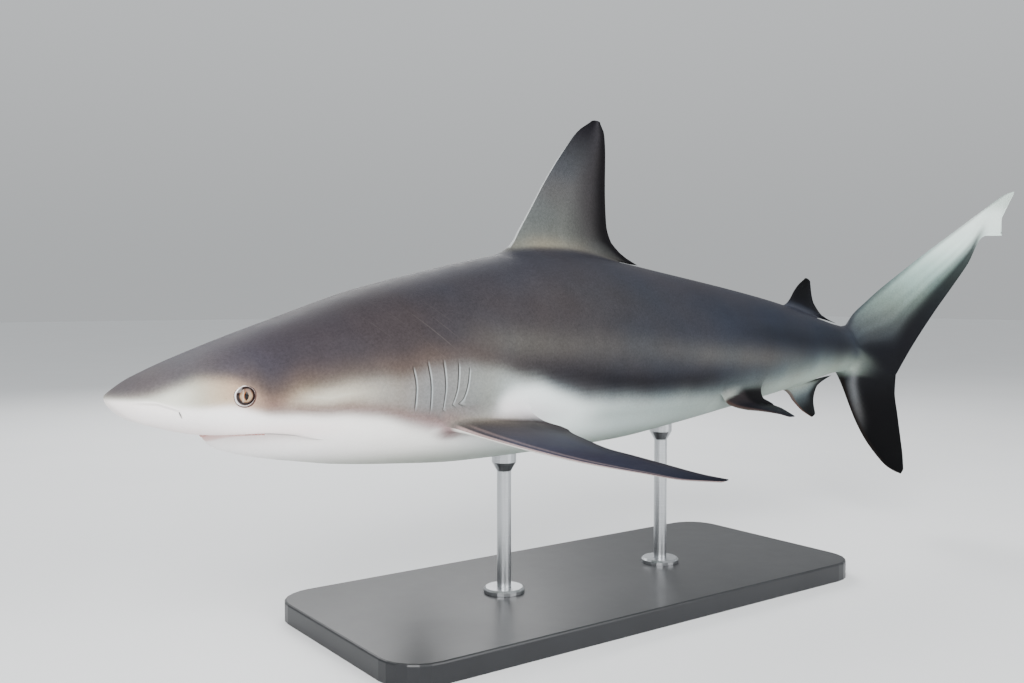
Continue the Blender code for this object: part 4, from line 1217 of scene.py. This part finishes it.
def closed_form(rings, sides):
    """Quads of a closed form whose points are rings of sides points each, then the pole before
    the first ring and the pole after the last."""
    numbers = np.arange(rings * sides).reshape(rings, sides)
    first, last = numbers[0], numbers[-1]
    before, after = np.full(sides, rings * sides), np.full(sides, rings * sides + 1)
    return np.concatenate([
        ring_net(numbers).reshape(-1, 4),
        np.stack([before, before, np.roll(first, -1), first], -1),
        np.stack([after, after, last, np.roll(last, -1)], -1),
    ])


def turned_over(quads):
    """The same faces seen from the other side."""
    return np.where(quads[:, :1] == quads[:, 1:2], quads[:, [0, 1, 3, 2]], quads[:, ::-1])


def eyeball(name, side):
    """A closed sphere of rings about the line the eye looks along. Each point keeps its place
    on the ball: forward, up and outward, from -1 to 1."""
    s, n, z = EYE_PLACE
    centre = bend((s, side * n, z))
    ahead = unit(bend((s - 0.001, side * n, z)) - centre)
    out = unit(bend((s, side * (n + 0.001), z)) - centre)
    up = np.array([0.0, 0.0, 1.0])
    rings, around = 95, 160  # the rings lie closer together round the pupil
    polar = (np.linspace(0.0, 1.0, rings + 2)[1:-1] ** 1.25 * math.pi)[:, None]
    angle = (np.arange(around) * 2 * math.pi / around)[None]
    ball = [np.sin(polar) * np.cos(angle), np.sin(polar) * np.sin(angle), np.cos(polar) + 0 * angle]
    ball = np.concatenate([np.stack(ball, -1).reshape(-1, 3), [[0.0, 0.0, 1.0], [0.0, 0.0, -1.0]]])
    points = centre + EYE_RADIUS * TOTAL_LENGTH * ball @ np.stack([ahead, up, out])
    quads = closed_form(rings, around)
    return mesh_piece(name, points, quads if side < 0 else turned_over(quads), {"gaze": ball})


# The colours out from the middle of the iris, by distance in radii of the ball.
IRIS_STOPS = {
    0: "ad987c", 1: "f4f3f2", 0.335: "9c8468", 0.385: "5d3f2d", 0.42: "1c1210", 0.525: "1a1110",
    0.55: "6f5d58", 0.58: "f3f1ef",
}
IRIS_CENTRE = (0.086, -0.045)  # where the eye looks on the ball: forward and up of straight out
# The pupil's rust-brown edge and the pupil: half width, half height, shift forward and colour.
SLITS = ((0.155, 0.295, 0.022, "7d4622"), (0.122, 0.275, 0.0, "040303"))


def eye(add):
    """Glass eye, painted behind and polished: a white rim, a brown-black ring, a silver-beige
    iris and an upright slit pupil with a rust-brown front edge. The slit is where the distance
    ahead, in half widths, plus the square of the height, in half heights, is below 1."""
    gaze = add("Attribute", output="Vector", attribute_name="gaze")
    iris = add("VectorMath", (gaze, (*IRIS_CENTRE, 0.0)), operation="SUBTRACT")
    ahead = add("SeparateXYZ", (iris,), "X")
    up = add("SeparateXYZ", (iris,), "Y")
    flat = add("CombineXYZ", {"X": ahead, "Y": up})
    radius = add("VectorMath", (flat,), "Value", operation="LENGTH")
    fibres = add("TexNoise", {"Vector": gaze, "Scale": 14.0, "Detail": 4.0})
    wavy = add("Math", (fibres, 0.014, -0.007), **SCALED_SUM)
    wavy = add("Math", (wavy, radius), **SUM)
    colour = add("ValToRGB", {"Fac": wavy})
    ramp = colour.node.color_ramp.elements
    for place, hex_colour in IRIS_STOPS.items():
        stop = ramp[0] if place == 0 else ramp[-1] if place == 1 else ramp.new(place)
        stop.color = (*linear(hex_colour), 1.0)
    # The iris is browner at the top and has a pale upright streak before the pupil.
    inside = add("Math", (wavy, 0.42), operation="LESS_THAN")
    brow = add("MapRange", (up, 0.04, 0.3, 0.0, 0.85))
    brow = add("Math", (brow, inside), **PRODUCT)
    colour = add("Mix", {"Factor": brow, "A": colour, "B": "5f4233"}, **COLOUR)
    streak = add("Math", (ahead, 14.0, -2.6), **SCALED_SUM)
    streak = add("Math", (streak,), operation="ABSOLUTE")
    streak = add("MapRange", (streak, 0.0, 1.0, 0.28, 0.0))
    streak = add("Math", (streak, inside), **PRODUCT)
    colour = add("Mix", {"Factor": streak, "A": colour, "B": "e6ddcf"}, **COLOUR)
    for width, height, shift, hex_colour in SLITS:
        across = add("Math", (ahead, 1 / width, -shift / width), **SCALED_SUM)
        across = add("Math", (across,), operation="ABSOLUTE")
        along = add("Math", (up, 1 / height), **PRODUCT)
        size = add("Math", (along, along, across), **SCALED_SUM)
        slit = add("MapRange", (size, 1.06, 0.94))
        colour = add("Mix", {"Factor": slit, "A": colour, "B": hex_colour}, **COLOUR)
    smudge = add("TexNoise", {"Vector": gaze, "Scale": 5.0, "Detail": 2.0})
    smudge = add("Math", (smudge, 0.06, 0.1), **SCALED_SUM)
    return {
        "Base Color": colour, "Roughness": smudge, "IOR": 1.5, "Specular IOR Level": 0.2,
        "Coat Weight": 0.25, "Coat Roughness": 0.03,
    }


def lacquered_board(add):
    """Black satin lacquer on sprayed MDF: almost even, with a faint orange peel and dust."""
    where = add("TexCoord", output="Object")
    peel = add("TexNoise", {"Vector": where, "Scale": 1 / 0.004, "Detail": 2.0})
    wear = add("TexNoise", {"Vector": where, "Scale": 1 / 0.15, "Detail": 5.0, "Roughness": 0.65})
    colour = add("Mix", {"Factor": wear, "A": "17181a", "B": "26272a"}, **COLOUR)
    gloss = add("Math", (wear, 0.22, 0.24), **SCALED_SUM)
    bump = add("Bump", {"Height": peel, "Strength": 0.08, "Distance": 0.0004})
    return {
        "Base Color": colour, "Roughness": gloss, "Normal": bump, "Specular IOR Level": 0.3,
        "Coat Weight": 0.08, "Coat Roughness": 0.2,
    }


def brushed_steel(add):
    """Stainless tube, brushed round: fine rings 0.6 mm apart that spread the highlight."""
    where = add("TexCoord", output="Object")
    stretched = add("Mapping", {"Vector": where, "Scale": (18.0, 18.0, 1 / 0.0006)})
    lines = add("TexNoise", {"Vector": stretched, "Scale": 1.0, "Detail": 3.0})
    colour = add("Mix", {"Factor": lines, "A": "9a9da0", "B": "c9cbcd"}, **COLOUR)
    rough = add("Math", (lines, 0.18, 0.22), **SCALED_SUM)
    bump = add("Bump", {"Height": lines, "Strength": 0.12, "Distance": 0.0002})
    return {"Base Color": colour, "Roughness": rough, "Normal": bump, "Metallic": 1.0}


def studio_floor(add):
    """Pale matt vinyl floor with a faint unevenness."""
    where = add("TexCoord", output="Object")
    uneven = add("TexNoise", {"Vector": where, "Scale": 2.0, "Detail": 3.0})
    colour = add("Mix", {"Factor": uneven, "A": "dfe1e2", "B": "e6e7e8"}, **COLOUR)
    return {"Base Color": colour, "Roughness": 0.75}


TOOTH_RING = MOUTH_BACK + 0.7 * MM  # the skin's ring that the teeth stand on
TOOTH_COUNT, TOOTH_PITCH = 21, 0.0042  # on each side, and metres from one to the next
TOOTH_HALF_WIDTH, TOOTH_HALF_DEPTH, TOOTH_WALL, TOOTH_HEIGHT = 0.0019, 0.0014, 0.0034, 0.0036
TOOTH_SUNK, TOOTH_OUT = 0.0014, 0.0002  # how far a foot is sunk in the gum, and moved out on it


def lower_teeth():
    """Small blunt teeth along the front of the lower jaw. Each is a cone with a rounded top:
    its rings shrink by the cosine of an angle while they rise by its sine. One point closes
    the foot and one the top."""
    jaw_turn = np.linspace(CORNER_STEP / HALF, 1.0, 600)
    path = bend(skin_place(TOOTH_RING, jaw_turn, True))
    length = np.concatenate([[0.0], np.cumsum(np.linalg.norm(np.diff(path, axis=0), axis=-1))])
    from_middle = TOOTH_PITCH * (0.5 + np.arange(TOOTH_COUNT))
    turns = np.interp(length[-1] - from_middle, length, jaw_turn)
    turns = np.concatenate([turns, -turns])
    foot = bend(skin_place(TOOTH_RING, turns, True))
    along = unit(bend(skin_place(TOOTH_RING, turns + 0.002, True)) - foot)
    up = np.array([0.0, 0.0, 1.0])
    out = np.cross(along, up)
    out *= np.sign(((foot - foot.mean(0)) * out).sum(-1))[:, None]
    rings, sides = 7, 12
    angle = np.linspace(0.0, math.radians(80), rings)[:, None]
    around = np.arange(sides) * 2 * math.pi / sides
    spots = np.stack([
        np.cos(angle) * np.cos(around) * TOOTH_HALF_WIDTH,
        np.cos(angle) * np.sin(around) * TOOTH_HALF_DEPTH,
        np.sin(angle) * TOOTH_WALL + 0 * around,
    ], -1)
    spots = np.concatenate([spots.reshape(-1, 3), [[0.0, 0.0, 0.0], [0.0, 0.0, TOOTH_HEIGHT]]])
    axes = np.stack([along, out, np.broadcast_to(up, out.shape)], 1)
    points = (foot + out * TOOTH_OUT)[:, None] - up * TOOTH_SUNK + np.einsum("pk,tkc->tpc", spots, axes)
    quads = closed_form(rings, sides)
    quads = np.concatenate([
        (turned_over(quads) if handed > 0 else quads) + number * len(spots)
        for number, handed in enumerate(np.linalg.det(axes))
    ])
    height = np.broadcast_to(spots[:, 2] / TOOTH_HEIGHT, points.shape[:2]).reshape(-1)
    return points.reshape(-1, 3), quads, height


def tooth(add):
    """Gum and enamel in glossy resin: pink at the foot, ivory at the tip."""
    height = add("Attribute", output="Fac", attribute_name="height")
    where = add("TexCoord", output="Object")
    blotch = add("TexNoise", {"Vector": where, "Scale": 1 / 0.002, "Detail": 2.0})
    bare = add("Math", (blotch, 0.35, height), **SCALED_SUM)
    bare = add("MapRange", (bare, 0.55, 1.1))
    colour = add("Mix", {"Factor": bare, "A": "d6a49c", "B": "f2e6dc"}, **COLOUR)
    shine = add("Math", (blotch, 0.1, 0.22), **SCALED_SUM)
    return {"Base Color": colour, "Roughness": shine}


# ---------------------------------------------------------------- the model
NEAR_ROOT = 0.16  # metres from the middle of a fin's root line to the furthest point relaxed
RELAX_WEIGHT, RELAX_ROUNDS = 0.6, 80
RELAX_FADE = (0.009, 0.018)  # metres from a root line where relaxing begins to fade, and its width

skin = make_skin()
points = np.concatenate(skin.points)
quads = np.concatenate(skin.quads)
places = np.concatenate(skin.places)
root_gap = np.full(len(points), 1.0)
for root_line in skin.roots:
    near = np.abs(points - root_line.mean(0)).max(-1) < NEAR_ROOT
    gaps = np.linalg.norm(points[near][:, None] - root_line[None], axis=-1).min(1)
    root_gap[near] = np.minimum(root_gap[near], gaps)
weight = RELAX_WEIGHT * fall(root_gap, *RELAX_FADE)
# Points that carry the painted shade or the painted highlight of the slits, the mouth and the nostrils are
# not relaxed.
weight = np.where(skin.fact("dark") + skin.fact("edge") > 0.01, 0.0, weight)
points = relax(points, quads, weight, RELAX_ROUNDS)
coat, darkness = shark_colours(skin, places)

# Distance in millimetres above the fold on the snout's side, and how far the fold shows.
FOLD = lengths(8.5, -8.8, 17.4, -8.4, 24.2, -8.6, 28.9, -10.1, 35.4, -12.6)
s, _, z = places.T
fold_mm = (z - eased(FOLD, s)) / MM
fold_share = rise(s, 0.01, 0.012) * fall(s, 0.0345, 0.003)

# Where the head shows its pores: ahead of the gills and above the cheek.
head = 0.3 * smooth((0.175 - s) / 0.02) * rise(z, -0.012, 0.004)
body_skin = mesh_piece("shark_skin", points, quads, {
    "place": places, "coat": coat, "darkness": darkness,
    "fold_mm": fold_mm, "fold_share": fold_share, "head": head,
})
body_skin.data.materials.append(material("painted_resin_shark_skin", shark_skin))

points, quads, height = lower_teeth()
teeth = mesh_piece("lower_teeth", points, quads, {"height": height})
teeth.data.materials.append(material("glossy_resin_gum_and_teeth", tooth))
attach(teeth, "root")

glass = material("painted_glass_eye", eye)
for side, label in ((1, "left"), (-1, "right")):
    ball = eyeball("eyeball_" + label, side)
    ball.data.materials.append(glass)
    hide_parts("eye_" + label)
    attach(ball, "root")

board = material("satin_black_lacquered_mdf", lacquered_board)
steel = material("brushed_stainless_steel", brushed_steel)
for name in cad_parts:
    if name.startswith("stand_"):
        finish = board if name == BOARD_NODE else steel
        for slot in bpy.data.objects[name].material_slots:
            slot.material = finish

# ---------------------------------------------------------------- camera, light, floor
CAMERA_PLACE = (-1.0758, -1.2766, 0.4885)
CAMERA_DOWN, CAMERA_RIGHT = 2.516, 36.0  # degrees that it looks down and to the right
FLOOR_REACH = 20

camera_data = bpy.data.cameras.new("camera")
camera_data.lens = camera_data.sensor_width = 36.0
camera = bpy.data.objects.new("camera", camera_data)
camera.location = CAMERA_PLACE
camera.rotation_euler = (math.radians(90 - CAMERA_DOWN), 0.0, math.radians(-CAMERA_RIGHT))
bpy.context.scene.collection.objects.link(camera)
bpy.context.scene.camera = camera
world = bpy.data.worlds.new("studio")
world.use_nodes = True
tree = world.node_tree
sky = add_node(tree, "TexCoord", output="Generated")
height = add_node(tree, "SeparateXYZ", (sky,), "Z")
walls = add_node(tree, "MapRange", (height, 0.0, 0.35), interpolation_type="SMOOTHSTEP")
shades = add_node(tree, "Mix", {"Factor": walls, "A": "cfd2d4", "B": "eef1f3"}, **COLOUR)
feed(tree.nodes["Background"], {"Color": shades, "Strength": 0.8})
bpy.context.scene.world = world
# Softboxes: name, place, the point they face, size in metres and power in watts.
for name, place, aim, size, energy in (
    ("key_softbox", (-2.5, -2.5, 2.2), (-0.2, 0.0, 0.4), 2.2, 250),
    ("fill_softbox", (1.2, -3.2, 1.5), (0.3, 0.0, 0.4), 2.4, 105),
    ("back_softbox", (0.9, 2.6, 2.4), (0.1, 0.0, 0.45), 2.2, 100),
):
    data = bpy.data.lights.new(name, "AREA")
    data.size = size
    data.energy = energy
    light = bpy.data.objects.new(name, data)
    light.location = place
    light.rotation_euler = (Vector(aim) - Vector(place)).to_track_quat("-Z", "Y").to_euler()
    bpy.context.scene.collection.objects.link(light)
floor_mesh = bpy.data.meshes.new("floor")
corners = [(FLOOR_REACH * x, FLOOR_REACH * y, 0) for x, y in ((-1, -1), (1, -1), (1, 1), (-1, 1))]
floor_mesh.from_pydata(corners, [], [(0, 1, 2, 3)])
floor_mesh.materials.append(material("pale_matt_vinyl_floor", studio_floor))
floor = bpy.data.objects.new("floor", floor_mesh)
bpy.context.scene.collection.objects.link(floor)

FLESH = [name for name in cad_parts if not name.startswith(("stand_", "eye_"))]
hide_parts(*FLESH)
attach(body_skin, "root")
